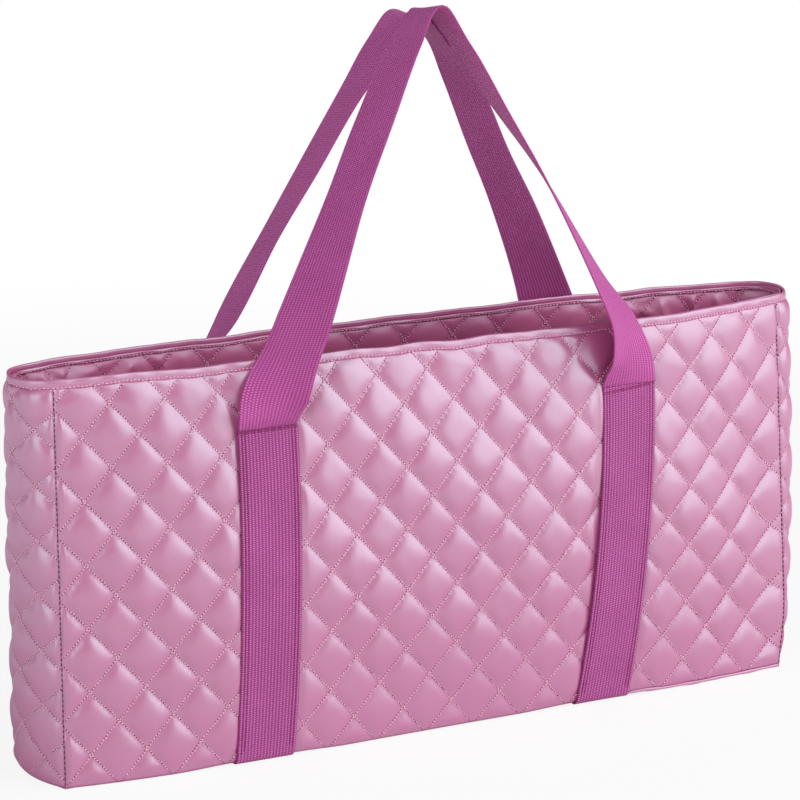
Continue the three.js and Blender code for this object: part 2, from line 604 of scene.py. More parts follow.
@dataclass(frozen=True)
class BaseSurface(Surface):
    """The base. Its second coordinate runs from its front edge to its back edge, 0 in the middle."""

    height: float = 3.4
    edge_drop: float = 4.0

    def level(self, s: Array, z: Array) -> Array:
        """Points on the stitch lines' level. See Surface.level.

        Args:
            s: Along the base.
            z: From front to back.

        Returns:
            The points.
        """
        front = LongSurface(self.sizes, Face.FRONT)
        back = LongSurface(self.sizes, Face.BACK)
        zero = np.zeros(np.broadcast(s, z).shape)
        low = self.sizes.half_depth(0) + front.swell(s, zero) - self.edge_drop
        high = self.sizes.half_depth(0) + back.swell(s, zero) - self.edge_drop
        share = (z / self.half_width + 1) / 2
        x = self.sizes.stretched(s, zero)
        return np.stack([x, high * share - low * (1 - share), zero + self.height], -1)

    @property
    def half_width(self) -> float:
        """Half the cloth from the front edge to the back edge."""
        return self.sizes.base_depth / 2

    def turned(self) -> int:
        """The plain product points up, so the underside is its opposite and the floor inside keeps it."""
        return self.side


# Relief of the padded cloth


@dataclass(frozen=True)
class StitchRow:
    """A straight stitch row that holds a panel down, across it (at_z) or up it (at_s)."""

    at_s: float | None = None
    at_z: float | None = None
    below: float = math.inf
    reach: float = 11.0

    def distance(self, s: Array, z: Array) -> Array:
        """Distances of points from the row, very large where the row doesn't run.

        Args:
            s: Distances along the panel.
            z: Heights.

        Returns:
            The distances.
        """
        if self.at_s is None:
            return np.abs(z - self.at_z) + 0 * s
        far = 1e3
        return np.abs(s - self.at_s) + np.where(z <= self.below, 0.0, far)


@dataclass(frozen=True)
class Relief:
    """How the padded cloth moves off the flat grid: along it, up it and out of it."""

    shift: Array

    def mirrored(self) -> "Relief":
        """The same relief seen in a mirror across the panel's middle.

        Returns:
            The mirrored relief.
        """
        flipped = self.shift[:, ::-1].copy()
        flipped[..., 0] *= -1
        return Relief(flipped)


@dataclass(frozen=True)
class PuffCloth:
    """Blows quilted cloth up between its stitch rows."""

    lattice: Lattice
    rows: tuple[StitchRow, ...]
    seed: int = 1
    height: float = 3.0
    pressure: float = 8.0
    frames: int = 18
    most: float = 4.2
    bending: float = 3.0
    tension: float = 25.0
    crown: float = 1.9
    line_hold: float = 0.02
    row_hold: float = 1.3
    start_share: float = 0.5
    full_percentile: float = 92.0
    deepest: float = 0.3
    slide: float = 0.8
    fuller: float = 0.13
    fuller_wave: float = 42.0
    crease: float = 0.11
    crease_wave: float = 11.0

    def drawn(self, s: Array, z: Array) -> Array:
        """The puffs by formula, on a grid of columns and rows.

        Args:
            s: Columns.
            z: Rows.

        Returns:
            Heights, one line for each row.
        """
        s, z = np.meshgrid(s, z)
        total = np.full(s.shape, self.height)
        for line in self.lattice.to_lines(s, z):
            total *= puffed(np.abs(line - np.round(line)) * 2, 1.0)
        for row in self.rows:
            total *= puffed(row.distance(s, z), row.reach)
        return total

    def held(self, s: Array, z: Array) -> Array:
        """Which points of the grid a stitch holds.

        Args:
            s: Along the panel.
            z: Up the panel.

        Returns:
            True where one does.
        """
        s, z = np.meshgrid(s, z)
        found = np.zeros(s.shape, bool)
        for line in self.lattice.to_lines(s, z):
            found |= np.abs(line - np.round(line)) < self.line_hold
        for row in self.rows:
            found |= row.distance(s, z) < self.row_hold
        found[[0, -1], :] = True
        found[:, [0, -1]] = True
        return found

    def formula(self, s: Array, z: Array) -> Relief:
        """The relief without a simulation."""
        out = self.drawn(s, z)
        return Relief(np.stack([np.zeros_like(out), np.zeros_like(out), out], -1))

    def settled(self, s: Array, z: Array) -> Relief:
        """Args:
            s: Columns.
            z: Rows.

        Returns:
            The relief on that grid.
        """
        flat_s, flat_z = np.meshgrid(s, z)
        start = self.drawn(s, z) * self.start_share
        cloth = make_mesh_open("puff_cloth", np.stack([flat_s, flat_z, start], -1))
        group = cloth.vertex_groups.new(name="stitched")
        group.add(np.flatnonzero(self.held(s, z).ravel()).tolist(), 1.0, "REPLACE")
        blown = cloth.modifiers.new("Cloth", "CLOTH")
        blown.settings.quality = 5
        blown.settings.mass = 0.25
        blown.settings.tension_stiffness = self.tension
        blown.settings.compression_stiffness = self.tension
        blown.settings.shear_stiffness = self.tension / 3
        blown.settings.bending_stiffness = self.bending
        blown.settings.use_pressure = True
        blown.settings.uniform_pressure_force = self.pressure
        blown.settings.vertex_group_mass = group.name
        blown.settings.effector_weights.gravity = 0
        blown.collision_settings.use_collision = False
        blown.point_cache.frame_start = 1
        blown.point_cache.frame_end = self.frames
        scene = bpy.context.scene
        for number in range(1, self.frames + 1):
            scene.frame_set(number)
        result = cloth.evaluated_get(bpy.context.evaluated_depsgraph_get()).to_mesh()
        points = np.zeros(len(result.vertices) * 3)
        result.vertices.foreach_get("co", points)
        scene.frame_set(1)
        moved = points.reshape(*flat_s.shape, 3) / MM - np.stack([flat_s, flat_z, 0 * start], -1)
        bpy.data.objects.remove(cloth)
        return self.varied(self.trimmed(moved, s, z), s, z)

    def trimmed(self, moved: Array, s: Array, z: Array) -> Array:
        """Brings simulated movement to the puffs' real height and caps it.

        Args:
            moved: The movement of every point.
            s: Along the panel.
            z: Up the panel.

        Returns:
            The movement to keep.
        """
        free = ~self.held(s, z)
        full = np.percentile(moved[..., 2][free], self.full_percentile)
        LOG.info("puffs rose %.2f mm before trimming", full)
        least = 0.1
        moved[..., 2] *= self.height / max(full, least)
        moved[..., 2] = np.clip(moved[..., 2], -self.deepest, self.most)
        moved[..., :2] = np.clip(moved[..., :2], -self.slide, self.slide)
        return moved

    def varied(self, shift: Array, s: Array, z: Array) -> Relief:
        """Makes some puffs fuller than others and lays faint creases over them.

        Args:
            shift: How the cloth moves off the grid.
            s: Columns.
            z: Rows.

        Returns:
            The uneven relief.
        """
        s, z = np.meshgrid(s, z)
        fuller = 1 + self.fuller * ripples(self.seed, s, z, self.fuller_wave)
        shift = shift.copy()
        share = np.clip(shift[..., 2] / self.most, 0, 1)
        top = 1 - (1 - self.height / self.most) ** self.crown
        shift[..., 2] = self.height * (1 - (1 - share) ** self.crown) / top
        share = np.clip(shift[..., 2] / self.height, 0, 1)
        creases = self.crease * share * ripples(self.seed + 1, s, z, self.crease_wave)
        shift[..., 2] = shift[..., 2] * fuller + creases
        return Relief(shift)


def make_mesh_open(name: str, grid: Array) -> bpy.types.Object:
    """Makes an open sheet from a grid of points.

    Args:
        name: The object's name.
        grid: Points in millimetres, in rows and columns.

    Returns:
        The new object, its faces toward +Z where columns run to +X and rows to +Y.
    """
    rows, columns = grid.shape[:2]
    mesh = bpy.data.meshes.new(name)
    mesh.from_pydata((grid.reshape(-1, 3) * MM).tolist(), [], grid_faces(rows, columns).tolist())
    sheet = bpy.data.objects.new(name, mesh)
    bpy.context.scene.collection.objects.link(sheet)
    return sheet


# Quilted panels


@dataclass(frozen=True)
class Lip:
    """The turned edge of one layer at the rim: a flat band over the top stitch row, folded at its top."""

    start: float
    top: float
    middle: float
    thickness: float
    points: int = 7

    def arc(self, outward: int) -> tuple[Array, Array]:
        """The band's outline from the stitch row over the fold into the slit.

        Args:
            outward: 1 for the outer layer and -1 for the lining.

        Returns:
            Heights, and how far out each point lies.
        """
        radius = self.thickness / 2
        turn = np.radians(np.linspace(0, 180, self.points))
        shoulder = self.top - radius
        band = np.array([0.12, 0.45, 0.8])
        full = np.array([0.72, 1.12, 1.1]) * radius
        flat = self.start + band * (shoulder - self.start)
        rise = np.concatenate([flat, shoulder + radius * np.sin(turn)])
        return rise, self.middle + outward * np.concatenate([full, radius * np.cos(turn)])


@dataclass
class Layer:
    """One padded layer of a panel: its skin, its foot turned under where it has one, and the hidden side
    of its wadding.
    """

    name: str
    surface: Surface
    lattice: Lattice
    columns: Array
    rows: Array
    relief: Relief
    outward: int
    valley: float
    hidden: float
    foot: float
    wave_seed: int
    seam_fold: float = 0.0
    puff_share: float = 1.0
    hidden_rows: int = 18
    seam_reach: float = 9.0
    wobble: float = 0.9
    folds: float = 0.0
    sag: float = 0.0
    carried: tuple[float, ...] = ()

    def from_seam(self, s: Array) -> Array:
        """Distances from the nearer corner seam."""
        return np.minimum(s - self.columns[0], self.columns[-1] - s)

    def waves(self, s: Array, z: Array) -> Array:
        """Slow unevenness of the filled cloth, none at the seams.

        Args:
            s: Along the panel.
            z: Up the panel.

        Returns:
            Millimetres outward.
        """
        seam_calm, foot_calm, wavelength = 40, 60, 85.0
        fade = eased(self.from_seam(s), 0, seam_calm) * eased(z, 0, foot_calm)
        return self.wobble * fade * ripples(self.wave_seed, s, z, wavelength)

    def rim_wave(self, s: Array, z: Array) -> Array:
        """How the rim's edge rises and falls along the bag.

        Args:
            s: Along the panel.
            z: Up the panel.

        Returns:
            Millimetres up.
        """
        height, seam_calm, wavelength = 0.7, 30, 48.0
        start, full = self.rows[-1] - 45, self.rows[-1] + 6
        fade = height * eased(z, start, full) * eased(self.from_seam(s), 0, seam_calm)
        return fade * ripples(self.wave_seed + 5, s, 0 * z, wavelength)

    def seam_shape(self, s: Array) -> Array:
        """The groove at the corner seam and the fold that stands beside it.

        Args:
            s: Along the panel.

        Returns:
            Millimetres outward.
        """
        away = self.from_seam(s)
        depth, groove_width = 0.9, 1.3
        fold_place, fold_width = 2.6, 1.5
        groove = -depth * np.exp(-((away / groove_width) ** 2))
        fold = self.seam_fold * np.exp(-(((away - fold_place) / fold_width) ** 2))
        return groove + fold

    def slack(self, s: Array, z: Array) -> Array:
        """The folds of loose lining toward both ends of the panel.

        Args:
            s: Along the panel.
            z: Up the panel.

        Returns:
            Millimetres outward.
        """
        half = (self.columns[-1] - self.columns[0]) / 2
        start, full = 0.45 * half, 0.8 * half
        wavelength, upright, narrow, sharp = 24.0, 0.5, 1.5, 1.4
        wave = np.abs(ripples(self.wave_seed + 7, s, upright * z, wavelength))
        fold = np.clip(1 - narrow * wave, 0, 1) ** sharp
        rim_calm, seam_calm = 6, 8
        rise = self.folds * eased(np.abs(s), start, full) * fold
        return rise * eased(self.rows[-1] - z, 0, rim_calm) * eased(self.from_seam(s), 0, seam_calm)

    def settled(self, s: Array, z: Array) -> Array:
        """How far the bottom sags between the places where the straps carry it.

        Args:
            s: Along the panel.
            z: Up the panel.

        Returns:
            Millimetres down.
        """
        lift = np.zeros(np.broadcast(s, z).shape)
        carried_half, free_half, sag_height = 28, 75, 45
        for middle in self.carried:
            lift = np.maximum(lift, 1 - eased(np.abs(s - middle), carried_half, free_half))
        return self.sag * (1 - lift) * (1 - eased(z, 0, sag_height))

    def placed(self, s: Array, z: Array, out: Array) -> Array:
        """Places a part of the layer on its surface with the slow unevenness added.

        Args:
            s: Along the panel.
            z: Up the panel.
            out: Millimetres off the surface.

        Returns:
            The points.
        """
        s, z, out = np.broadcast_arrays(s, z, out)
        height = z + self.rim_wave(s, z) - self.settled(s, z)
        return self.surface.place(s, height, out + self.waves(s, z))

    def outline(self) -> tuple[Array, Array, Array]:
        """The layer's closed cross-section at every column.

        Returns:
            Places along the panel, heights and stand-offs, in rows of one for each column.
        """
        s = self.columns[None, :]
        skin_s = s + self.relief.shift[..., 0]
        skin_z = self.rows[:, None] + self.relief.shift[..., 1]
        puffs = self.relief.shift[..., 2] * self.puff_share
        swell = puffs + self.seam_shape(s) + self.slack(s, self.rows[:, None])
        skin_out = -self.valley + self.outward * swell
        parts = [(skin_s, skin_z, skin_out)]
        if self.foot:
            foot_points = 5
            turn = np.radians(np.linspace(90, 15, foot_points))[:, None]
            foot_z = self.rows[0] - self.foot * np.sin(turn)
            foot_out = -self.valley - self.outward * self.foot * (1 - np.cos(turn))
            parts.insert(0, (s, foot_z, foot_out + 0 * s))
        seam_share = 0.3
        pinch = seam_share + (1 - seam_share) * eased(self.from_seam(s), 0, self.seam_reach)
        drop = np.linspace(self.rows[-1], self.rows[0] - self.foot, self.hidden_rows)[:, None]
        back = -self.valley - self.outward * (abs(self.hidden - self.valley) * pinch)
        parts.append((s, drop + 0 * s, back + 0 * drop))
        spread = [np.broadcast_arrays(*part) for part in parts]
        return tuple(np.concatenate([part[k] for part in spread]) for k in range(3))

    def make(self) -> bpy.types.Object:
        """Makes the layer as one closed body with the lattice's coordinates as its UV map.

        Returns:
            The body.
        """
        s, z, out = self.outline()
        rows, columns = s.shape
        points = self.placed(s, z, out)
        faces = grid_faces(rows, columns, closed_rows=True).tolist()
        first = np.arange(rows) * columns
        faces.append(first.tolist())
        faces.append((first + columns - 1)[::-1].tolist())
        piece = make_mesh(self.name, points.reshape(-1, 3), faces)
        for cap in list(piece.data.polygons)[-2:]:
            cap.use_smooth = False
        give_uv(piece, "quilt", np.stack(self.lattice.to_lines(s, z), -1))
        return piece

    def at(self, s: Array, z: Array, proud: float) -> Array:
        """Points a little proud of the stitch lines' level, where thread lies."""
        return self.placed(s, z, -self.valley + self.outward * proud)


@dataclass(frozen=True)
class RimBand:
    """The turned edge of one cloth layer, a single band round the mouth with rounded corners."""

    layers: tuple[Layer, ...]
    lip: Lip
    outward: int
    valley: float
    seed: int
    step: float = 2.2
    rounding: float = 2.0
    tuck: float = 4.0
    crinkle: float = 0.3
    back_share: float = 1.0
    row_rise: float = 0.1
    row_out: float = 0.35
    window: int = 8
    foot_drop: float = 1.4
    foot_out: float = 0.3
    join_calm: float = 12.0
    crinkle_wave: float = 13.0
    crinkle_squeeze: float = 1.5

    def line(self, height: float) -> Array:
        """The closed line round the bag at a height: front, right end, back and left end.

        Args:
            height: The height.

        Returns:
            Points on the stitch lines' level, the corners sharp.
        """
        parts = []
        for number, layer in enumerate(self.layers):
            s = layer.columns if number < 2 else layer.columns[::-1]
            parts.append(layer.placed(s, np.full(len(s), height), 0 * s)[:-1])
        return np.vstack(parts)

    def rounded(self, line: Array) -> Array:
        """Rounds the corners of a closed line of even steps.

        Args:
            line: Its points.

        Returns:
            The rounded points.
        """
        reach = np.arange(-self.window, self.window + 1)
        weights = np.exp(-((reach / self.rounding) ** 2) / 2)
        return sum(w * np.roll(line, k, axis=0) for w, k in zip(weights / weights.sum(), reach))

    def frames(self) -> tuple[Array, Array, Array, Array]:
        """Even places round the mouth at the stitch row.

        Returns:
            Points, the rising directions, the outward directions and the running lengths.
        """
        low, high = (self.line(height) for height in (self.lip.start, self.lip.top))
        low, high = np.vstack([low, low[:1]]), np.vstack([high, high[:1]])
        run = running_length(low)
        even = np.linspace(0, run[-1], round(run[-1] / self.step), endpoint=False)
        low, high = (self.rounded(spaced(even, run, line)) for line in (low, high))
        rise = unit(high - low)
        along = unit(np.roll(low, -1, axis=0) - np.roll(low, 1, axis=0))
        return low, rise, unit(np.cross(along, rise)), even

    def make(self, name: str) -> bpy.types.Object:
        """Makes the band as one closed ring.

        Args:
            name: The piece's name.

        Returns:
            The new object.
        """
        low, rise, out, run = self.frames()
        height, stand = self.lip.arc(self.outward)
        height = np.concatenate([[self.lip.start - self.foot_drop], height, [self.lip.start - self.tuck]])
        inner = self.lip.middle - self.outward * self.lip.thickness / 2
        stand = np.concatenate([[-self.valley - self.foot_out * self.outward], stand, [inner]])
        fade = eased(np.minimum(run, run[-1] - run), 0, self.join_calm)[:, None]
        squeezed = height[None, :] * self.crinkle_squeeze
        ripple = ripples(self.seed, run[:, None], squeezed, self.crinkle_wave)
        wave = self.crinkle * fade * ripple
        wave[:, [0, -1]] = 0
        front_end, back_end = -20, 20
        tall = 1 - (1 - self.back_share) * eased(low[:, 1], front_end, back_end)
        points = (
            low[:, None, :]
            + rise[:, None, :] * ((height - self.lip.start)[None, :] * tall[:, None])[:, :, None]
            + out[:, None, :] * (stand[None, :] + wave)[:, :, None]
        )
        rows, columns = points.shape[:2]
        piece = make_mesh(name, points, grid_faces(rows, columns, closed_rows=True, closed_columns=True))
        give_uv(piece, "quilt", np.full((rows * columns, 2), 0.5))
        return piece

    def stitched(self, name: str, bead: "Bead", pitch: float = 3.2) -> bpy.types.Object:
        """Makes the stitch row along the band's foot.

        Args:
            name: The piece's name.
            bead: The stitch's shape.
            pitch: Distance between two stitches.

        Returns:
            The new object.
        """
        low, rise, out, run = self.frames()
        places = np.arange(0, run[-1], pitch)
        onward = 0.6
        level = low + rise * self.row_rise + out * (-self.valley + self.row_out * self.outward)
        middles, normals = spaced(places, run, level), spaced(places, run, out)
        ahead = spaced(places + onward, run, level)
        return sewn(name, middles, ahead - middles, normals * self.outward, bead)


# Thread


@dataclass(frozen=True)
class Bead:
    """One stitch of thread, a short fat strand with pointed ends."""

    length: float = 2.1
    width: float = 1.3
    height: float = 1.05
    ring: int = 4
    unevenness: float = 0.22
    belly: float = 0.28
    stretch: float = 0.6

    def template(self) -> tuple[Array, list[list[int]]]:
        """The stitch's points (along, across, up) and faces.

        Returns:
            The points and the faces.
        """
        turn = 2 * math.pi * (np.arange(self.ring) + 0.5) / self.ring
        belly = self.belly * self.length
        points = [(-self.length / 2, 0, 0), (self.length / 2, 0, 0)]
        for along in (-belly, belly):
            points += [(along, self.width / 2 * math.cos(t), self.height / 2 * math.sin(t)) for t in turn]
        faces = []
        for k in range(self.ring):
            after = (k + 1) % self.ring
            low, low_after = 2 + k, 2 + after
            high, high_after = low + self.ring, low_after + self.ring
            faces += [[0, low_after, low], [low, low_after, high_after, high], [1, high, high_after]]
        return np.array(points), faces


def sewn(name: str, middles: Array, along: Array, normals: Array, bead: Bead) -> bpy.types.Object:
    """Makes a piece that holds one bead of thread for each stitch.

    Args:
        name: The piece's name.
        middles: The stitches' middles.
        along: Their directions.
        normals: The cloth's outward directions there.
        bead: The stitch's shape.

    Returns:
        The new object.
    """
    template, faces = bead.template()
    random = np.random.default_rng(len(middles))
    lean, shift, grow = random.normal(0, bead.unevenness, (3, len(middles), 1))
    along = unit(along)
    across = unit(np.cross(normals, along))
    along = unit(along + lean * across)
    across = unit(np.cross(normals, along))
    up = np.cross(along, across)
    middles = middles + shift * bead.width * across
    axes = np.stack([along * (1 + grow * bead.stretch), across, up], 1)
    points = middles[:, None, :] + np.einsum("pk,nkd->npd", template, axes)
    size = len(template)
    total = [[corner + size * n for corner in face] for n in range(len(middles)) for face in faces]
    return make_mesh(name, points.reshape(-1, 3), total)


@dataclass(frozen=True)
class Needlework:
    """The quilting thread of one panel layer."""

    layer: Layer
    bead: Bead
    covered: tuple[Triple, ...] = ()

    def stands_clear(self, s: Array, z: Array) -> Array:
        """Which stitches no webbing covers.

        Args:
            s: Along the panel.
            z: Up the panel.

        Returns:
            True where none does.
        """
        clear = np.ones(len(s), bool)
        for low, high, below in self.covered:
            clear &= (s < low) | (s > high) | (z > below)
        return clear

    def make(self, name: str) -> bpy.types.Object:
        """Makes the layer's thread.

        Args:
            name: The piece's name.

        Returns:
            The new object.
        """
        layer = self.layer
        edge = 2.0
        s_span = (layer.columns[0] + edge, layer.columns[-1] - edge)
        s, z, slope = layer.lattice.stitches(s_span, (layer.rows[0], layer.rows[-1]))
        clear = self.stands_clear(s, z)
        s, z, slope = s[clear], z[clear], slope[clear]
        step_s, step_z = slope * layer.lattice.across / 2, np.full(len(s), layer.lattice.up / 2)
        proud = 0.4
        share = 0.02
        middles = layer.at(s, z, proud)
        ahead = layer.at(s + share * step_s, z + share * step_z, proud)
        normals = layer.surface.normals(s, z) * layer.outward
        return sewn(name, middles, ahead - middles, normals, self.bead)


# Webbing


@dataclass(frozen=True)
class Webbing:
    """The woven tape that the straps and handles are cut from."""

    width: float
    thickness: float
    ribs: int = 18
    per_rib: int = 6
    rib_height: float = 0.09
    weft: float = 1.5
    rib_round: float = 0.7
    edge_width: float = 0.03
    edge_round: float = 0.5
    edge_share: float = 0.45
    plain_points: int = 9

    def section(self, plain_side: bool) -> tuple[Array, Array]:
        """The tape's cross-section, ribbed on both sides or plain underneath.

        Args:
            plain_side: Whether the underside is hidden and stays plain.

        Returns:
            For each point its share across from -1 to 1, and its height off the middle.
        """
        count = self.ribs * self.per_rib
        across = np.linspace(-1, 1, count + 1)
        ridge = np.abs(np.sin(math.pi * self.ribs * (across + 1) / 2)) ** self.rib_round
        edge = np.clip((1 - np.abs(across)) / self.edge_width, 0, 1) ** self.edge_round
        top = self.thickness / 2 - self.rib_height * (1 - ridge)
        top = top * (self.edge_share + (1 - self.edge_share) * edge)
        below = np.linspace(1, -1, self.plain_points) if plain_side else across[::-1]
        low = -np.interp(below, across, top)
        return np.concatenate([across, below]), np.concatenate([top, low])

    def ribbon(
        self, name: str, line: Array, widths: Array, plain_side: bool = False, free: Array | float = 1.0
    ) -> bpy.types.Object:
        """Makes a length of tape.

        Args:
            name: The piece's name.
            line: Points along the tape's middle.
            widths: The tape's width direction at each point.
            plain_side: Whether the underside is hidden.
            free: How far each width turns square to the line, from 0 to 1.

        Returns:
            The new object.
        """
        tangents = unit(np.gradient(line, axis=0))
        lean = np.sum(widths * tangents, -1, keepdims=True) * np.reshape(free, (-1, 1))
        widths = unit(widths - lean * tangents)
        normals = unit(np.cross(widths, tangents))
        across, height = self.section(plain_side)
        points = (
            line[:, None, :]
            + widths[:, None, :] * (across * self.width / 2)[None, :, None]
            + normals[:, None, :] * height[None, :, None]
        )
        piece = make_mesh(name, points.reshape(-1, 3), tube_faces(*points.shape[:2]))
        rib = (across + 1) / 2 * self.ribs
        weft = running_length(line) / self.weft
        weave = np.stack(np.broadcast_arrays(rib[None, :], weft[:, None]), -1)
        give_uv(piece, "weave", weave)
        return piece


@dataclass(frozen=True)
class FaceStrap:
    """Webbing sewn up a long face, which drifts sideways toward the base as it does on the real bag."""

    sizes: BagSizes
    webbing: Webbing
    surface: LongSurface
    end: End
    top_middle: float
    bottom_middle: float
    drift: float = 1.8
    seat: float = 1.0
    step: float = 2.4
    bend: float = 80.0
    bend_points: int = 8

    @property
    def title(self) -> str:
        """The strap's name without a prefix."""
        return f"{self.surface.side.title}_{self.end.title}"

    @property
    def outward(self) -> float:
        """How far the tape's middle plane stands off the stitch lines' level."""
        return self.seat + self.webbing.thickness / 2

    def middle(self, z: Array) -> Array:
        """Where the strap's middle runs at a height."""
        fall = np.clip(1 - z / self.sizes.tack, 0, 1) ** self.drift
        return self.top_middle + (self.bottom_middle - self.top_middle) * fall

    def line(self) -> Array:
        """Points along the strap, from under the base's edge to the tack line.

        Returns:
            The points.
        """
        sizes = self.sizes
        radius = sizes.foot_radius + self.outward
        low = self.webbing.thickness / 2
        turn = np.radians(np.linspace(0, self.bend, self.bend_points))
        bend_z = low + radius * (1 - np.cos(turn))
        bend_out = self.outward - radius * (1 - np.sin(turn))
        count = int((sizes.tack - low - radius) / self.step)
        straight = np.linspace(low + radius, sizes.tack - 1, count)
        z = np.concatenate([bend_z, straight])
        out = np.concatenate([bend_out, np.full(len(straight), self.outward)])
        return self.surface.place(self.middle(z), z, out)

    def widths(self, line: Array) -> Array:
        """The tape's width direction along the strap.

        Args:
            line: Points along the strap.

        Returns:
            A unit vector for each point.
        """
        z = line[:, 2]
        s = self.middle(z)
        half = self.webbing.width / 2
        return unit(self.surface.level(s + half, z) - self.surface.level(s - half, z))

    def make(self) -> bpy.types.Object:
        """Makes the strap.

        Returns:
            The strap.
        """
        line = self.line()
        name = f"strap_{self.title}_webbing"
        return self.webbing.ribbon(name, line, self.widths(line), plain_side=True)

    def edge_rows(self, inset: float) -> list[StitchRow]:
        """The rows at which the strap's edges hold the cloth down.

        Args:
            inset: How far inside the tape's edges they lie.

        Returns:
            The rows.
        """
        middle = (self.top_middle + self.bottom_middle) / 2
        reach = self.webbing.width / 2 - inset
        return [StitchRow(at_s=middle + k * reach, below=self.sizes.tack) for k in (-1, 1)]


@dataclass(frozen=True)
class Station:
    """A place on a handle: height, distance from the bag's middle, depth, turn in degrees and lift."""

    z: float
    x: float
    y: float
    turn: float
    lift: float = 0.0


@dataclass(frozen=True)
class Handle:
    """A loop of webbing that leaves two straps at their tack lines and twists to lie edge-on on top."""

    title: str
    body: Body
    webbing: Webbing
    side: Face
    straps: tuple[FaceStrap, FaceStrap]
    left: tuple[Station, ...]
    top: Station
    right: tuple[Station, ...]
    step: float = 2.6
    held_length: float = 4.0
    free_length: float = 42.0

    def controls(self) -> tuple[Array, Array, Array]:
        """The listed places of the loop from left tack to right, with each one's turn and lift.

        Returns:
            The places, the turns and the lifts.
        """
        points, turns = [], []
        for strap, start in ((self.straps[0], 0.0), (self.straps[1], 180.0)):
            z = np.array([strap.sizes.tack - 1.0])
            points.append(strap.surface.place(strap.middle(z), z, strap.outward)[0])
            turns.append(start)
        left = [(-p.x, p.y, p.z, p.turn) for p in self.left]
        right = [(p.x, p.y, p.z, 180 - p.turn) for p in reversed(self.right)]
        between = np.array([*left, (self.top.x, self.top.y, self.top.z, self.top.turn), *right])
        places = np.vstack([points[0], between[:, :3], points[1]])
        lifts = np.zeros(len(places))
        lifts[len(left) + 1] = self.top.lift
        return places, np.concatenate([[turns[0]], between[:, 3], [turns[1]]]), lifts

    def make(self) -> bpy.types.Object:
        """Makes the loop.

        Returns:
            The loop.
        """
        places, turns, lifts = self.controls()
        line, share = smooth_line(places, self.step)
        turn = np.radians(smooth_values(turns, places, share))
        lift = smooth_values(lifts, places, share)
        widths = np.stack([np.cos(turn), self.side * np.sin(turn), lift], -1)
        from_tack = np.arange(len(line)) * self.step
        free = eased(np.minimum(from_tack, from_tack[::-1]), self.held_length, self.free_length)
        return self.webbing.ribbon(f"{self.title}_handle_webbing", line, widths, free=free)


def chord_places(places: Array) -> Array:
    """Running length by the square roots of the gaps between places, so that no overshoot grows."""
    gaps = np.sqrt(np.linalg.norm(np.diff(places, axis=0), axis=1))
    return np.concatenate([[0], np.cumsum(gaps)])


def hermite(knots: Array, values: Array, at: Array) -> Array:
    """A smooth curve through values at knots.

    Args:
        knots: Rising numbers.
        values: One value or point for each knot.
        at: Where the curve is wanted.

    Returns:
        The values there.
    """
    values = values.reshape(len(knots), -1)
    slopes = np.gradient(values, knots, axis=0, edge_order=1)
    index = np.clip(np.searchsorted(knots, at, side="right") - 1, 0, len(knots) - 2)
    gap = knots[index + 1] - knots[index]
    t = ((at - knots[index]) / gap)[:, None]
    gap = gap[:, None]
    first = values[index] * (2 * t**3 - 3 * t**2 + 1) + slopes[index] * gap * (t**3 - 2 * t**2 + t)
    second = values[index + 1] * (3 * t**2 - 2 * t**3) + slopes[index + 1] * gap * (t**3 - t**2)
    return first + second


def smooth_line(places: Array, step: float) -> tuple[Array, Array]:
    """A smooth line through given places, in even steps.

    Args:
        places: The places.
        step: Distance between two points of the line.

    Returns:
        The line's points, and their running values on the places' own scale.
    """
    knots = chord_places(places)
    fine_points = 4000
    fine = np.linspace(0, knots[-1], fine_points)
    length = running_length(hermite(knots, places, fine))
    even = np.linspace(0, length[-1], int(length[-1] / step) + 1)
    share = np.interp(even, length, fine)
    return hermite(knots, places, share), share


def smooth_values(values: Array, places: Array, share: Array) -> Array:
    """Smooth numbers between given ones, on the places' own scale."""
    return hermite(chord_places(places), np.asarray(values, float), share)[:, 0]


# Shader building


@dataclass(frozen=True)
class Wire:
    """A shader value that ordinary Python arithmetic works on."""

    graph: "Graph"
    socket: bpy.types.NodeSocket

    def _math(self, operation: str, *values: "Wire | float") -> "Wire":
        """Adds one Math node."""
        return self.graph.node("ShaderNodeMath", {"operation": operation}, dict(enumerate(values)))

    def __add__(self, other: "Wire | float") -> "Wire":
        """Adds."""
        return self._math("ADD", self, other)

    __radd__ = __add__

    def __sub__(self, other: "Wire | float") -> "Wire":
        """Subtracts."""
        return self._math("SUBTRACT", self, other)

    def __rsub__(self, other: float) -> "Wire":
        """Subtracts from a number."""
        return self._math("SUBTRACT", other, self)

    def __mul__(self, other: "Wire | float") -> "Wire":
        """Multiplies."""
        return self._math("MULTIPLY", self, other)

    __rmul__ = __mul__

    def __pow__(self, other: float) -> "Wire":
        """Raises to a power."""
        return self._math("POWER", self, other)

    def __abs__(self) -> "Wire":
        """Drops the sign."""
        return self._math("ABSOLUTE", self)

    def __mod__(self, other: float) -> "Wire":
        """The rest after division."""
        return self._math("FLOORED_MODULO", self, other)

    def floor(self) -> "Wire":
        """Rounds down."""
        return self._math("FLOOR", self)

    def sine(self) -> "Wire":
        """Sine of an angle in radians."""
        return self._math("SINE", self)

    def from_whole(self) -> "Wire":
        """Distance from the nearest whole number."""
        return abs(self - (self + 0.5).floor())

    def eased(self, low: float, high: float) -> "Wire":
        """Eases from 0 to 1 as the value goes from low to high."""
        settings = {"interpolation_type": "SMOOTHSTEP"}
        return self.graph.node("ShaderNodeMapRange", settings, {0: self, 1: low, 2: high})


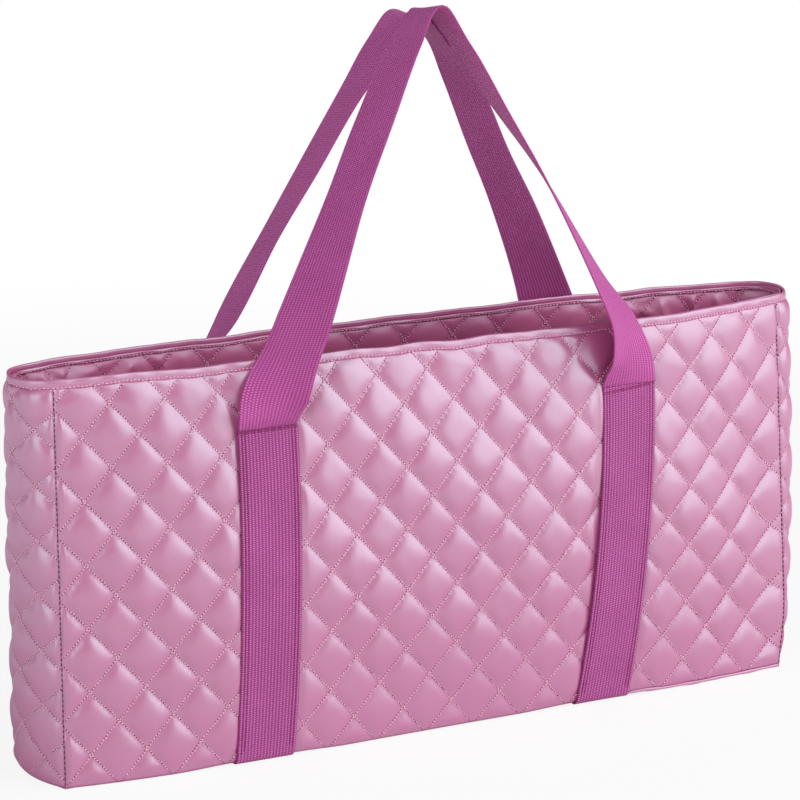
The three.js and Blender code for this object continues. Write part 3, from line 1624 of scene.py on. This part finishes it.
class Graph:
    """Builds the nodes of a material or of the world."""

    def __init__(self, owner: bpy.types.Material | bpy.types.World) -> None:
        """Starts with an empty node tree.

        Args:
            owner: The new material or world.
        """
        owner.use_nodes = True
        self.owner = owner
        self.tree = owner.node_tree
        self.tree.nodes.clear()

    def node(
        self,
        kind: str,
        settings: dict[str, object] | None = None,
        values: dict[int | str, object] | None = None,
        output: int | str = 0,
    ) -> Wire:
        """Adds a node.

        Args:
            kind: The node's type.
            settings: Its properties, set before its sockets.
            values: Numbers, colours or wires for its input sockets.
            output: Which output to return.

        Returns:
            The chosen output as a wire.
        """
        node = self.tree.nodes.new(kind)
        for key, value in (settings or {}).items():
            setattr(node, key, value)
        for key, value in (values or {}).items():
            if isinstance(value, Wire):
                self.tree.links.new(value.socket, node.inputs[key])
            else:
                node.inputs[key].default_value = value
        if not node.outputs:
            return Wire(self, node.inputs[0])
        return Wire(self, node.outputs[output])

    def mixed(self, share: Wire | float, first: Wire | Colour, second: Wire | Colour) -> Wire:
        """Mixes two colours.

        Args:
            share: How much of the second.
            first: The first colour.
            second: The second colour.

        Returns:
            The mixed colour.
        """
        return self.node("ShaderNodeMix", {"data_type": "RGBA"}, {0: share, 6: first, 7: second}, 2)

    def pair(self, uv_name: str) -> tuple[Wire, Wire]:
        """Reads the two numbers of a UV map.

        Args:
            uv_name: The map's name.

        Returns:
            Its two numbers.
        """
        uv = self.node("ShaderNodeUVMap", {"uv_map": uv_name})
        first = self.node("ShaderNodeSeparateXYZ", values={0: uv})
        return first, Wire(self, first.socket.node.outputs[1])

    def vector(self, x: Wire | float, y: Wire | float) -> Wire:
        """Makes a flat vector from two numbers."""
        return self.node("ShaderNodeCombineXYZ", values={0: x, 1: y})

    def noise(self, where: Wire, scale: float, detail: float = 2.0) -> Wire:
        """Smooth noise around 0.5.

        Args:
            where: The place.
            scale: How fine.
            detail: How many finer layers.

        Returns:
            The noise value.
        """
        return self.node("ShaderNodeTexNoise", values={"Vector": where, "Scale": scale, "Detail": detail})

    def place(self) -> Wire:
        """The point's place on the object, in metres."""
        return self.node("ShaderNodeTexCoord", output="Object")

    def bump(self, height: Wire, depth: float) -> Wire:
        """Turns a height into a normal.

        Args:
            height: The height, from about 0 to 1.
            depth: Metres for a height of 1.

        Returns:
            The normal.
        """
        return self.node("ShaderNodeBump", values={"Height": height, "Distance": depth})

    def finish(self, kind: str, values: dict[int | str, object]) -> bpy.types.Material:
        """Ends the material in one shader.

        Args:
            kind: The shader node's type.
            values: Values or wires for its sockets.

        Returns:
            The finished material.
        """
        shader = self.node(kind, values=values)
        self.node("ShaderNodeOutputMaterial", values={"Surface": shader})
        return self.owner


# Finishes


@dataclass(frozen=True)
class SatinFinish:
    """Satin-coated cloth: smooth, softly shiny, with painted shade in the needle holes and in the valleys
    along the stitch lines.
    """

    name: str
    cloth: Colour
    lattice: Lattice
    hem: float
    # Colour of the painted shade in the valleys along the stitch lines.
    crease: Colour = (0.5, 0.085, 0.235, 1)
    # Colour of the painted shade inside the needle holes.
    hole: Colour = (0.2, 0.014, 0.07, 1)
    roughness: float = 0.37
    ior: float = 2.02
    sheen_tint: Colour = (0.62, 0.95, 1.0, 1.0)
    hole_span: tuple[float, float] = (0.05, 0.5)
    valley_shade_span: tuple[float, float] = (0.2, 3.2)
    pucker_span: tuple[float, float] = (0.5, 4.5)
    grain_scale: float = 1400.0
    crumple_scale: float = 130.0
    patch_scale: float = 18.0
    groove_shade: float = 0.35
    pucker_height: float = 0.11
    grain_height: float = 0.03
    crumple_height: float = 0.17
    relief_depth: float = 0.0006

    def build(self) -> bpy.types.Material:
        """Builds the material on the quilting's own coordinates.

        Returns:
            The material.
        """
        graph = Graph(bpy.data.materials.new(self.name))
        a, b = graph.pair("quilt")
        spacing, side, count = self.lattice.spacing, self.lattice.side, self.lattice.stitches_per_side
        off_a, off_b = a.from_whole() * spacing, b.from_whole() * spacing
        hole_shade_mask = 0.0
        groove = 0.0
        pucker = 0.0
        for off, along in ((off_a, b), (off_b, a)):
            gap = (along * count).from_whole() * (side / count)
            # Painted shade mask: a dark spot at each end of every stitch, where the needle went through.
            spot = 1 - (off * off + gap * gap).eased(*self.hole_span)
            # Painted shade mask: near each stitch line, where the puffs dip into a valley.
            near = 1 - off.eased(*self.valley_shade_span)
            hole_shade_mask = spot + hole_shade_mask
            groove = near + groove
            pucker = (along * (math.pi * count)).sine() * (1 - off.eased(*self.pucker_span)) + pucker
        grain = graph.noise(graph.place(), self.grain_scale)
        crumple = graph.noise(graph.place(), self.crumple_scale, 3.0)
        patchy = graph.noise(graph.place(), self.patch_scale)
        height = graph.node("ShaderNodeSeparateXYZ", values={0: graph.place()}, output=2)
        quilted = 1 - height.eased(self.hem * MM, (self.hem + 1.0) * MM) * 0.8
        # Painted shade: the cloth darkens toward the crease colour along the stitch lines' valleys.
        colour = graph.mixed(groove.eased(0.0, 2.2) * quilted * self.groove_shade, self.cloth, self.crease)
        # Painted shade: the spots take the hole colour, standing in for the shade inside the needle holes.
        colour = graph.mixed(hole_shade_mask.eased(0.0, 1.0) * quilted, colour, self.hole)
        relief = pucker * quilted * self.pucker_height + grain * self.grain_height
        relief = relief + crumple * self.crumple_height
        return graph.finish(
            "ShaderNodeBsdfPrincipled",
            {
                "Base Color": colour,
                # Painted shade: full metal at the needle holes takes the sheen off the dark spots.
                "Metallic": hole_shade_mask.eased(0.2, 1.0) * quilted,
                "Roughness": patchy * 0.08 + grain * 0.05 + (self.roughness - 0.065),
                "IOR": self.ior,
                "Specular IOR Level": 1.0,
                "Specular Tint": self.sheen_tint,
                "Normal": graph.bump(relief, self.relief_depth),
            },
        )


@dataclass(frozen=True)
class WebbingFinish:
    """Woven tape: ribs along its length, each a column of beads, staggered, with painted highlight on the
    beads' tops and painted shade in the pits and between the rows.
    """

    name: str
    yarn: Colour
    # Colour of the painted highlight on each bead's top.
    crown: Colour
    # Colour of the painted shade in the pits, also used for random darker patches.
    shaded_pit: Colour
    roughness: float = 0.62
    depth: float = 0.0004
    fibre_along: float = 4.0
    fibre_across: float = 0.7
    fibre_scale: float = 6.0
    patch_scale: float = 30.0
    row_shade: float = 0.45
    shaded_pit_shade: float = 0.9
    shaded_pit_spread: float = 0.8
    crown_height: float = 0.8
    shaded_pit_height: float = 0.5
    fibre_height: float = 0.25

    def build(self) -> bpy.types.Material:
        """Builds the material on the weave's own coordinates.

        Returns:
            The material.
        """
        graph = Graph(bpy.data.materials.new(self.name))
        rib, weft = graph.pair("weave")
        across = abs((rib * math.pi).sine())
        staggered = weft + (rib.floor() % 2.0) * 0.5
        along = abs((staggered * math.pi).sine())
        crown = across * across * along * along
        shaded_pit = (1 - across * across) * (1 - along * along)
        strand = graph.vector(rib * self.fibre_along, weft * self.fibre_across)
        fibre = graph.noise(strand, self.fibre_scale, 3.0)
        patchy = graph.noise(graph.place(), self.patch_scale)
        # Painted highlight: the crowns of the beads turn lighter.
        colour = graph.mixed(crown.eased(0.3, 1.0), self.yarn, self.crown)
        # Painted shade between the weft rows.
        colour = graph.mixed((1 - along) ** 2.0 * self.row_shade, colour, self.shaded_pit)
        # Painted shade in the pits between the beads.
        colour = graph.mixed(shaded_pit ** self.shaded_pit_spread * self.shaded_pit_shade, colour, self.shaded_pit)
        relief = crown * self.crown_height - shaded_pit * self.shaded_pit_height + fibre * self.fibre_height
        return graph.finish(
            "ShaderNodeBsdfPrincipled",
            {
                # Random darker patches of tone.
                "Base Color": graph.mixed(patchy.eased(0.3, 0.7) * 0.12, colour, self.shaded_pit),
                "Roughness": fibre * 0.15 + (self.roughness - 0.075),
                "Specular IOR Level": 0.25,
                "Sheen Weight": 0.06,
                "Normal": graph.bump(relief, self.depth),
            },
        )


@dataclass(frozen=True)
class ThreadFinish:
    """Sewing thread with a slight twist in it."""

    name: str
    thread: Colour
    shade: Colour
    fibre_scale: float = 2200.0
    relief_depth: float = 0.0001

    def build(self) -> bpy.types.Material:
        """Builds the material.

        Returns:
            The material.
        """
        graph = Graph(bpy.data.materials.new(self.name))
        fibre = graph.noise(graph.place(), self.fibre_scale)
        return graph.finish(
            "ShaderNodeBsdfPrincipled",
            {
                "Base Color": graph.mixed(fibre.eased(0.35, 0.65), self.thread, self.shade),
                "Roughness": fibre * 0.2 + 0.35,
                "Normal": graph.bump(fibre, self.relief_depth),
            },
        )


@dataclass(frozen=True)
class FloorFinish:
    """A white floor that keeps a faint shadow."""

    name: str
    whiteness: float = 0.87
    near: float = 0.9
    far: float = 1.7
    mirror_near: float = 0.25
    mirror_far: float = 1.0

    def build(self) -> bpy.types.Material:
        """Builds the material, which far from the bag shines white to the camera and to reflections.

        Returns:
            The material.
        """
        graph = Graph(bpy.data.materials.new(self.name))
        camera_ray = graph.node("ShaderNodeLightPath", output="Is Camera Ray")
        mirrored_ray = graph.node("ShaderNodeLightPath", output="Is Glossy Ray")
        away = graph.node("ShaderNodeVectorMath", {"operation": "LENGTH"}, {0: graph.place()}, "Value")
        seen = mirrored_ray * away.eased(self.mirror_near, self.mirror_far) + camera_ray
        white_share = away.eased(self.near, self.far) * (1 - self.whiteness) + self.whiteness
        matt = graph.node("ShaderNodeBsdfDiffuse", values={"Color": (0.9, 0.9, 0.9, 1)})
        white = graph.node("ShaderNodeEmission", values={"Color": (1, 1, 1, 1), "Strength": 1.0})
        mix = graph.node("ShaderNodeMixShader", values={0: seen * white_share, 1: matt, 2: white})
        graph.node("ShaderNodeOutputMaterial", values={"Surface": mix})
        return graph.owner


# The bag


@dataclass
class CarryBag:
    """The whole bag, built from its sizes."""

    sizes: BagSizes
    lattice: Lattice = field(default_factory=Lattice)
    long_relief: Relief | None = None
    end_relief: Relief | None = None
    outer: dict[str, Layer] = field(default_factory=dict)
    lined: dict[str, Layer] = field(default_factory=dict)
    lining_depth: float = 3.3
    outer_back: float = 2.4
    lining_back: float = 2.7
    lining_puff: float = 0.9
    sag: float = 1.5
    top_reach: float = 10.0
    edge_reach: float = 9.0
    lip_gap: float = 0.8
    blend_height: float = 24.0

    def __post_init__(self) -> None:
        """Works out the rim, the tape, the straps and the finishes."""
        foot = self.sizes.topstitch + self.lip_gap
        self.outer_lip = Lip(foot, self.sizes.rim + 0.2, middle=-0.6, thickness=2.4)
        self.inner_lip = Lip(foot, self.sizes.rim + 0.1, middle=-3.9, thickness=1.8)
        self.webbing = Webbing(self.sizes.webbing_width, self.sizes.webbing_thickness)
        self.surfaces = {face: LongSurface(self.sizes, face) for face in Face}
        shifts = {(Face.FRONT, End.LEFT): (5, 0), (Face.FRONT, End.RIGHT): (5, -11)}
        self.straps = {}
        for face in Face:
            for end in End:
                middle = end * self.sizes.strap_middle
                top, bottom = shifts.get((face, end), (0, 0))
                self.straps[face, end] = FaceStrap(
                    self.sizes, self.webbing, self.surfaces[face], end, middle + top, middle + bottom
                )
        self.satin = SatinFinish(
            "quilted satin",
            cloth=(0.58, 0.115, 0.295, 1),
            lattice=self.lattice,
            hem=self.sizes.topstitch,
        ).build()
        self.lining_satin = SatinFinish(
            "lining satin",
            cloth=(0.6, 0.13, 0.31, 1),
            lattice=self.lattice,
            hem=self.sizes.topstitch,
            roughness=0.45,
            ior=1.7,
        ).build()
        # The crown colour is a painted highlight and the pit colour a painted shade.
        self.tape = WebbingFinish(
            "orchid webbing",
            yarn=(0.53, 0.1, 0.37, 1),
            crown=(0.8, 0.27, 0.63, 1),
            shaded_pit=(0.16, 0.006, 0.08, 1),
        ).build()
        # Painted light: a lighter, lower-contrast copy of the webbing colours for the handles, standing in
        # for more light on the loops.
        self.loop_tape = WebbingFinish(
            "worn orchid webbing",
            yarn=(0.6, 0.11, 0.42, 1),
            crown=(0.82, 0.25, 0.63, 1),
            shaded_pit=(0.3, 0.022, 0.17, 1),
            depth=0.00022,
        ).build()
        self.pink_thread = ThreadFinish(
            "pink thread", thread=(0.92, 0.55, 0.72, 1), shade=(0.84, 0.42, 0.61, 1)
        ).build()
        self.orchid_thread = ThreadFinish(
            "orchid thread", thread=(0.34, 0.012, 0.17, 1), shade=(0.22, 0.008, 0.1, 1)
        ).build()
        # Painted shade: near-black seam thread that stands in for the shade in the corner grooves.
        self.groove_shade_thread = ThreadFinish(
            "seam thread", thread=(0.14, 0.012, 0.05, 1), shade=(0.08, 0.008, 0.03, 1)
        ).build()

    def build_long_panel(self, side: Face) -> None:
        """Makes the front or the back: its outer layer, its lining and their thread.

        Args:
            side: Which of the two.
        """
        sizes = self.sizes
        title = side.title
        lattice = replace(self.lattice, phase=self.lattice.phase * (1 if side == Face.FRONT else -1))
        columns = lattice.columns(-sizes.half_length, sizes.half_length)
        rows = lattice.rows(sizes.floor_gap + sizes.foot_radius, sizes.topstitch)
        straps = [self.straps[side, end] for end in End]
        if side == Face.FRONT:
            held = self.border_rows(rows[0], sizes.half_length)
            held += [row for strap in straps for row in strap.edge_rows(inset=2.5)]
            self.long_relief = PuffCloth(lattice, tuple(held), seed=3).settled(columns, rows)
        relief = self.long_relief if side == Face.FRONT else self.long_relief.mirrored()
        flattened = self.under_straps(relief, columns, rows, straps)
        wave_seed = 11 + side
        outer = Layer(
            f"{title}_outer_panel",
            self.surfaces[side],
            lattice,
            columns,
            rows,
            flattened,
            outward=1,
            valley=0.0,
            hidden=self.outer_back,
            foot=sizes.foot_radius,
            wave_seed=wave_seed,
            seam_fold=0.8,
            sag=self.sag,
            carried=tuple(strap.middle(0) for strap in straps),
        )
        lining = Layer(
            f"{title}_lining_panel",
            self.surfaces[side],
            lattice,
            columns,
            rows,
            relief,
            outward=-1,
            valley=self.lining_depth,
            hidden=self.lining_back,
            foot=0.0,
            wave_seed=wave_seed,
            puff_share=self.lining_puff,
            folds=3.6,
        )
        left_of, right_of = 24, 30
        covered = tuple((s.middle(0) - left_of, s.middle(0) + right_of, sizes.tack) for s in straps)
        self.build_wall(title, outer, lining, covered)

    def border_rows(self, foot: float, half_width: float) -> list[StitchRow]:
        """The rows that hold a wall's cloth down round its border.

        Args:
            foot: Height of the lowest row.
            half_width: Distance of the corner seams from the wall's middle.

        Returns:
            The top row, the lowest row and the two seams.
        """
        top = StitchRow(at_z=self.sizes.topstitch, reach=self.top_reach)
        low = StitchRow(at_z=foot, reach=self.edge_reach)
        return [top, low] + [StitchRow(at_s=k * half_width, reach=self.edge_reach) for k in (-1, 1)]

    def build_wall(
        self, title: str, outer: Layer, lining: Layer, covered: tuple[Triple, ...] = ()
    ) -> None:
        """Makes one wall's outer layer and lining, each with its thread.

        Args:
            title: The wall's name.
            outer: Its outer layer.
            lining: Its lining.
            covered: Where webbing hides the outer thread, each as left, right and top.
        """
        self.outer[title] = outer
        self.lined[title] = lining
        nodes = [f"{title}_outer_fabric", f"{title}_wadding"]
        dress(outer.make(), self.satin, nodes=nodes)
        thread = Needlework(outer, Bead(), covered).make(f"{title}_quilting_thread")
        dress(thread, self.pink_thread)
        lined = dress(lining.make(), self.lining_satin, nodes=[f"{title}_lining"])
        inner = Needlework(lining, Bead(ring=3)).make(f"{title}_lining_thread")
        dress(inner, self.pink_thread)

    def under_straps(
        self, relief: Relief, columns: Array, rows: Array, straps: Sequence[FaceStrap]
    ) -> Relief:
        """Presses the puffs down under the sewn webbing.

        Args:
            relief: The panel's relief.
            columns: Its columns.
            rows: Its rows.
            straps: The straps on this panel.

        Returns:
            The pressed relief.
        """
        shift = relief.shift.copy()
        s, z = np.meshgrid(columns, rows)
        most, inside, outside = 0.35, -3.5, 5.0
        start, end = self.sizes.tack - 4, self.sizes.tack + 12
        for strap in straps:
            away = np.abs(s - strap.middle(z)) - self.webbing.width / 2
            pressed = (1 - eased(away, inside, outside)) * (1 - eased(z, start, end))
            shift[..., 2] = shift[..., 2] * (1 - pressed) + np.minimum(shift[..., 2], most) * pressed
        return Relief(shift)

    def build_end_panel(self, side: End) -> None:
        """Makes the left or right end: its outer layer, its lining and their thread.

        Args:
            side: Which of the two.
        """
        sizes = self.sizes
        title = f"{side.title}_end"
        bows = {End.LEFT: (13.0, 19.5, 22.5), End.RIGHT: (12.0, 24.0, 23.0)}[side]
        surface = EndSurface(sizes, side, *bows)
        lattice = Lattice(phase=0.04, first_row=235.6, across=self.lattice.up, up=42.6)
        columns = lattice.columns(-surface.half_width, surface.half_width)
        rows = lattice.rows(sizes.floor_gap + sizes.foot_radius, sizes.topstitch)
        if side == End.LEFT:
            held = self.border_rows(rows[0], surface.half_width)
            self.end_relief = PuffCloth(lattice, tuple(held), seed=8).settled(columns, rows)
        wave_seed = 31 + side
        outer = Layer(
            f"{title}_outer_panel",
            surface,
            lattice,
            columns,
            rows,
            self.end_relief,
            outward=1,
            valley=0.0,
            hidden=self.outer_back,
            foot=sizes.foot_radius,
            wave_seed=wave_seed,
            seam_fold=0.5,
            sag=self.sag,
        )
        lining = Layer(
            f"{title}_lining_panel",
            surface,
            lattice,
            columns,
            rows,
            self.end_relief,
            outward=-1,
            valley=self.lining_depth,
            hidden=self.lining_back,
            foot=0.0,
            wave_seed=wave_seed,
            puff_share=self.lining_puff,
        )
        self.build_wall(title, outer, lining)

    def build_base_panel(self) -> None:
        """Makes the base: its outer layer on the underside and its lining inside."""
        sizes = self.sizes
        lattice = replace(self.lattice, first_row=self.lattice.up / 2)
        reach = sizes.half_length - 0.5
        for outward, height, name, slot, nodes in (
            (1, 3.6, "base_outer_panel", Slot.SATIN, ["base_outer_fabric", "base_wadding"]),
            (-1, 6.6, "base_lining_panel", Slot.LINING, ["base_lining"]),
        ):
            surface = BaseSurface(sizes, -outward, height)
            columns = lattice.columns(-reach, reach)
            rows = lattice.rows(-surface.half_width, surface.half_width)
            edges = [StitchRow(at_z=k * surface.half_width, reach=self.edge_reach) for k in (-1, 1)]
            edges += [StitchRow(at_s=k * reach, reach=self.edge_reach) for k in (-1, 1)]
            relief = PuffCloth(lattice, tuple(edges), height=1.9).formula(columns, rows)
            layer = Layer(
                name,
                surface,
                lattice,
                columns,
                rows,
                relief,
                outward=1,
                valley=0.0,
                hidden=1.2,
                foot=0.0,
                wave_seed=51,
                wobble=0.0,
            )
            dress(layer.make(), self.satin, nodes=nodes)
            thread = Needlework(layer, Bead(ring=3)).make(f"{name}_thread")
            dress(thread, self.pink_thread)

    def build_rim(self) -> None:
        """Makes the turned edges round the mouth, one of the outer cloth and one of the lining."""
        order = ("front", "right_end", "back", "left_end")
        outer = RimBand(
            tuple(self.outer[title] for title in order),
            self.outer_lip,
            outward=1,
            valley=0.0,
            seed=72,
        )
        lining = RimBand(
            tuple(self.lined[title] for title in order),
            self.inner_lip,
            outward=-1,
            valley=self.lining_depth,
            seed=70,
            back_share=0.45,
            row_rise=0.7,
            row_out=1.6,
        )
        for band, slot, name, thread_width in (
            (outer, Slot.SATIN, "rim_outer", 1.3),
            (lining, Slot.LINING, "rim_lining", 0.8),
        ):
            dress(band.make(f"{name}_band"), self.satin)
            bead = Bead(length=2.3, width=thread_width)
            dress(band.stitched(f"{name}_stitching", bead), self.pink_thread)

    def build_corner_stitching(self) -> None:
        """Makes the seam stitches in the groove at each corner, coloured near-black as painted shade of
        the groove.
        """
        first, last, pitch = 6.0, self.sizes.topstitch - 2, 4.0
        sunk, upward, turned_out = -0.25, 0.5, 0.9
        z = np.arange(first, last, pitch)
        bead = Bead(length=3.3, width=1.05, height=1.0, unevenness=0.07)
        for title in (face.title for face in Face):
            for end in End:
                layer = self.outer[title]
                s = np.full(len(z), layer.columns[0 if end == End.LEFT else -1])
                middles, ahead = layer.placed(s, z, sunk), layer.placed(s, z + upward, sunk)
                normals = unit(layer.surface.normals(s, z) + np.array([turned_out * end, 0, 0]))
                name = f"{title}_{end.title}_corner_stitching"
                seam = sewn(name, middles, ahead - middles, normals, bead)
                dress(seam, self.groove_shade_thread)

    def build_seam_fold(self) -> None:
        """Makes the fold that the bottom seam leaves along each long face, right of its strap."""
        under_strap, corner_gap, points_along, points_around = 2, 0.5, 90, 10
        height, half_height, half_width, stand = 3.4, 1.2, 0.6, 0.15
        thin_share, taper_length, uneven, drift = 0.35, 12, 0.2, 0.25
        turn = np.linspace(0, 2 * math.pi, points_around, endpoint=False)[None, :]
        for face in Face:
            layer = self.outer[face.title]
            first = self.straps[face, End.RIGHT].middle(0) + self.webbing.width / 2 - under_strap
            s = np.linspace(first, layer.columns[-1] - corner_gap, points_along)[:, None]
            taper = thin_share + (1 - thin_share) * eased(s - s[0], 0, taper_length)
            wave = uneven * ripples(97, s, 0 * s, 16.0)
            tall = (half_height + wave) * taper
            z = height + drift * ripples(98, s, 0 * s, 30.0) + tall * np.sin(turn)
            out = stand + wave + half_width * taper * np.cos(turn)
            name = f"{face.title}_base_seam_fold"
            fold = make_mesh(name, layer.placed(s, z, out), tube_faces(*z.shape))
            give_uv(fold, "quilt", np.full((z.size, 2), 0.5))
            dress(fold, self.satin)

    def build_straps(self) -> None:
        """Makes the webbing sewn up the faces, with its edge stitching and cross stitching."""
        for strap in self.straps.values():
            dress(strap.make(), self.tape, nodes=[f"strap_{strap.title}"])
            tack = self.cross_stitching(strap)
            dress(tack, self.orchid_thread, nodes=[f"tack_{strap.title}"])

    def cross_stitching(self, strap: FaceStrap) -> bpy.types.Object:
        """Makes a strap's edge stitching and the dense row across its tack line.

        Args:
            strap: The strap.

        Returns:
            The stitching.
        """
        tack = self.sizes.tack
        half = self.webbing.width / 2
        foot, pitch, edge_gap, tack_stitches = 8.0, 2.9, 1.5, 30
        places = []
        for inset in (2.9, 5.4):
            rise = np.arange(foot + inset, tack - 3, pitch)
            places += [(strap.middle(rise) + k * (half - inset), rise, 0 * rise) for k in (-1, 1)]
        across = np.linspace(edge_gap - half, half - edge_gap, tack_stitches)
        slant = 0.07 if strap.end == End.RIGHT else 0.02
        for drop in (1.7, 3.0):
            z = tack - drop - slant * (half - across)
            places.append((strap.middle(z) + across, z, 0 * z + 1))
        s, z, flat = (np.concatenate(part) for part in zip(*places))
        proud, onward = 0.1, 0.3
        out = strap.seat + self.webbing.thickness + proud
        middles = strap.surface.place(s, z, out)
        ahead = strap.surface.place(s + onward * flat, z + onward * (1 - flat), out)
        normals = strap.surface.normals(s, z)
        bead = Bead(length=2.8, width=0.85, height=0.8, unevenness=0.05)
        return sewn(f"strap_{strap.title}_stitching", middles, ahead - middles, normals, bead)

    def build_base_straps(self) -> None:
        """Makes the webbing that crosses under the base."""
        points = 40
        share = np.linspace(0, 1, points)[:, None]
        for end in End:
            front, back = self.straps[Face.FRONT, end].line()[0], self.straps[Face.BACK, end].line()[0]
            line = front * (1 - share) + back * share
            widths = np.tile([1.0, 0.0, 0.0], (len(line), 1))
            tape = self.webbing.ribbon(f"strap_base_{end.title}_webbing", line, widths)
            dress(tape, self.tape, nodes=[f"strap_base_{end.title}"])

    def build_handles(self) -> None:
        """Makes the two loops, each leaving the straps at their tack lines."""
        front = Handle(
            "front",
            Body.FRONT_LOOP,
            self.webbing,
            Face.FRONT,
            (self.straps[Face.FRONT, End.LEFT], self.straps[Face.FRONT, End.RIGHT]),
            left=(
                Station(276, 157, -57, 8),
                Station(290, 155, -60, 27),
                Station(318, 144, -62, 57),
                Station(350, 130, -61, 63),
                Station(435, 88, -46, 85),
                Station(490, 55, -30, 88),
                Station(545, 19, -13, 95),
            ),
            top=Station(570.6, 1.6, -9, 94, lift=0.2),
            right=(
                Station(276, 163, -62, 8),
                Station(290, 160, -66, 21),
                Station(318, 151, -67, 38),
                Station(350, 134, -62, 52),
                Station(435, 93, -39, 66),
                Station(490, 60, -25, 77),
                Station(545, 28, -10, 85),
            ),
        )
        back = Handle(
            "back",
            Body.BACK_LOOP,
            self.webbing,
            Face.BACK,
            (self.straps[Face.BACK, End.LEFT], self.straps[Face.BACK, End.RIGHT]),
            left=(
                Station(276, 159, 66, 26),
                Station(290, 154, 70, 48),
                Station(318, 134, 69, 74),
                Station(394, 96, 56, 74),
                Station(443, 71, 45, 77),
                Station(501, 41, 33, 79),
                Station(536, 18, 28, 88),
            ),
            top=Station(558.5, 9.5, 34, 88),
            right=(
                Station(276, 168, 66, 25),
                Station(290, 169, 70, 42),
                Station(318, 160, 69, 56),
                Station(394, 124, 60, 70),
                Station(443, 96, 53, 77),
                Station(501, 64, 43, 83),
                Station(535, 40, 39, 97),
            ),
        )
        low, high = self.sizes.tack * MM, (self.sizes.tack + self.blend_height) * MM
        for handle in (front, back):
            piece = dress(handle.make(), self.loop_tape, None, [f"{handle.title}_handle"])
            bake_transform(piece)

    def build(self) -> None:
        """Makes every piece of the bag in order."""
        for face in Face:
            self.build_long_panel(face)
        for end in End:
            self.build_end_panel(end)
        self.build_rim()
        self.build_corner_stitching()
        self.build_seam_fold()
        self.build_base_panel()
        self.build_straps()
        self.build_base_straps()
        self.build_handles()


# The studio


@dataclass(frozen=True)
class Lamp:
    """A soft square lamp that looks at the bag."""

    name: str
    azimuth: float
    elevation: float
    size: float
    power: float
    distance: float = 4.0
    colour: Triple = (1.0, 1.0, 1.0)


@dataclass(frozen=True)
class Studio:
    """Floor, lights and camera."""

    lamps: tuple[Lamp, ...] = (
        Lamp("key softbox", 46.0, 25.0, 5.0, 183.0),
        Lamp("left fill", -52.0, 20.0, 2.6, 46.0),
        Lamp("left edge light", -100.0, 12.0, 1.6, 11.0),
        Lamp("top softbox", 0.0, 80.0, 3.0, 14.0),
    )
    middle: Triple = (0.0, 0.0, 0.2)
    world_light: float = 0.22
    floor_reach: float = 6.0
    camera_azimuth: float = -29.55
    camera_elevation: float = 14.42
    camera_roll: float = 0.79
    camera_distance: float = 3.139
    camera_target: Triple = (-0.012, 0.0, 0.2591)
    camera_lens: float = 179.2

    @staticmethod
    def direction(azimuth: float, elevation: float) -> Vector:
        """Direction from the bag, azimuth 0 being the front and 90 the right."""
        turn, rise = math.radians(azimuth), math.radians(elevation)
        return Vector((math.sin(turn) * math.cos(rise), -math.cos(turn) * math.cos(rise), math.sin(rise)))

    def build_lamps(self) -> None:
        """Makes the lamps."""
        for lamp in self.lamps:
            light = bpy.data.lights.new(lamp.name, "AREA")
            light.shape = "SQUARE"
            light.size = lamp.size
            light.energy = lamp.power
            light.color = lamp.colour
            stand = bpy.data.objects.new(lamp.name, light)
            back = self.direction(lamp.azimuth, lamp.elevation)
            stand.location = Vector(self.middle) + back * lamp.distance
            stand.rotation_euler = (-back).to_track_quat("-Z", "Y").to_euler()
            bpy.context.scene.collection.objects.link(stand)

    def build_world(self) -> None:
        """Makes a pale world that the camera sees as white."""
        world = bpy.data.worlds.new("studio")
        bpy.context.scene.world = world
        graph = Graph(world)
        camera_ray = graph.node("ShaderNodeLightPath", output="Is Camera Ray")
        strength = camera_ray * (1 - self.world_light) + self.world_light
        white = {"Color": (1, 1, 1, 1), "Strength": strength}
        background = graph.node("ShaderNodeBackground", values=white)
        graph.node("ShaderNodeOutputWorld", values={"Surface": background})

    def build_floor(self) -> None:
        """Makes the floor under the bag."""
        reach = self.floor_reach
        corners = [(-reach, -reach, 0), (reach, -reach, 0), (reach, reach, 0), (-reach, reach, 0)]
        mesh = bpy.data.meshes.new("floor")
        mesh.from_pydata(corners, [], [[0, 1, 2, 3]])
        floor = bpy.data.objects.new("floor", mesh)
        bpy.context.scene.collection.objects.link(floor)
        floor.data.materials.append(FloorFinish("studio floor").build())

    def build_camera(self) -> None:
        """Makes the camera at the photograph's angle."""
        data = bpy.data.cameras.new("camera")
        data.sensor_width = 36.0
        data.lens = self.camera_lens
        data.clip_end = 50.0
        back = self.direction(self.camera_azimuth, self.camera_elevation)
        right = (-back).cross(Vector((0, 0, 1))).normalized()
        up = right.cross(-back)
        roll = math.radians(self.camera_roll)
        rolled_right = right * math.cos(roll) + up * math.sin(roll)
        rolled_up = up * math.cos(roll) - right * math.sin(roll)
        camera = bpy.data.objects.new("camera", data)
        turned = Matrix((rolled_right, rolled_up, back)).transposed().to_4x4()
        place = Vector(self.camera_target) + back * self.camera_distance
        camera.matrix_world = Matrix.Translation(place) @ turned
        bpy.context.scene.collection.objects.link(camera)
        bpy.context.scene.camera = camera

    def build(self) -> None:
        """Makes the whole studio."""
        self.build_camera()
        self.build_world()
        self.build_floor()
        self.build_lamps()
        bpy.context.scene.view_settings.view_transform = "Standard"


def main() -> None:
    """Builds the studio and the bag."""
    logging.basicConfig(level=logging.INFO, format="%(message)s")
    Studio().build()
    CarryBag(BagSizes.from_frame()).build()


if __name__ == "__main__":
    main()
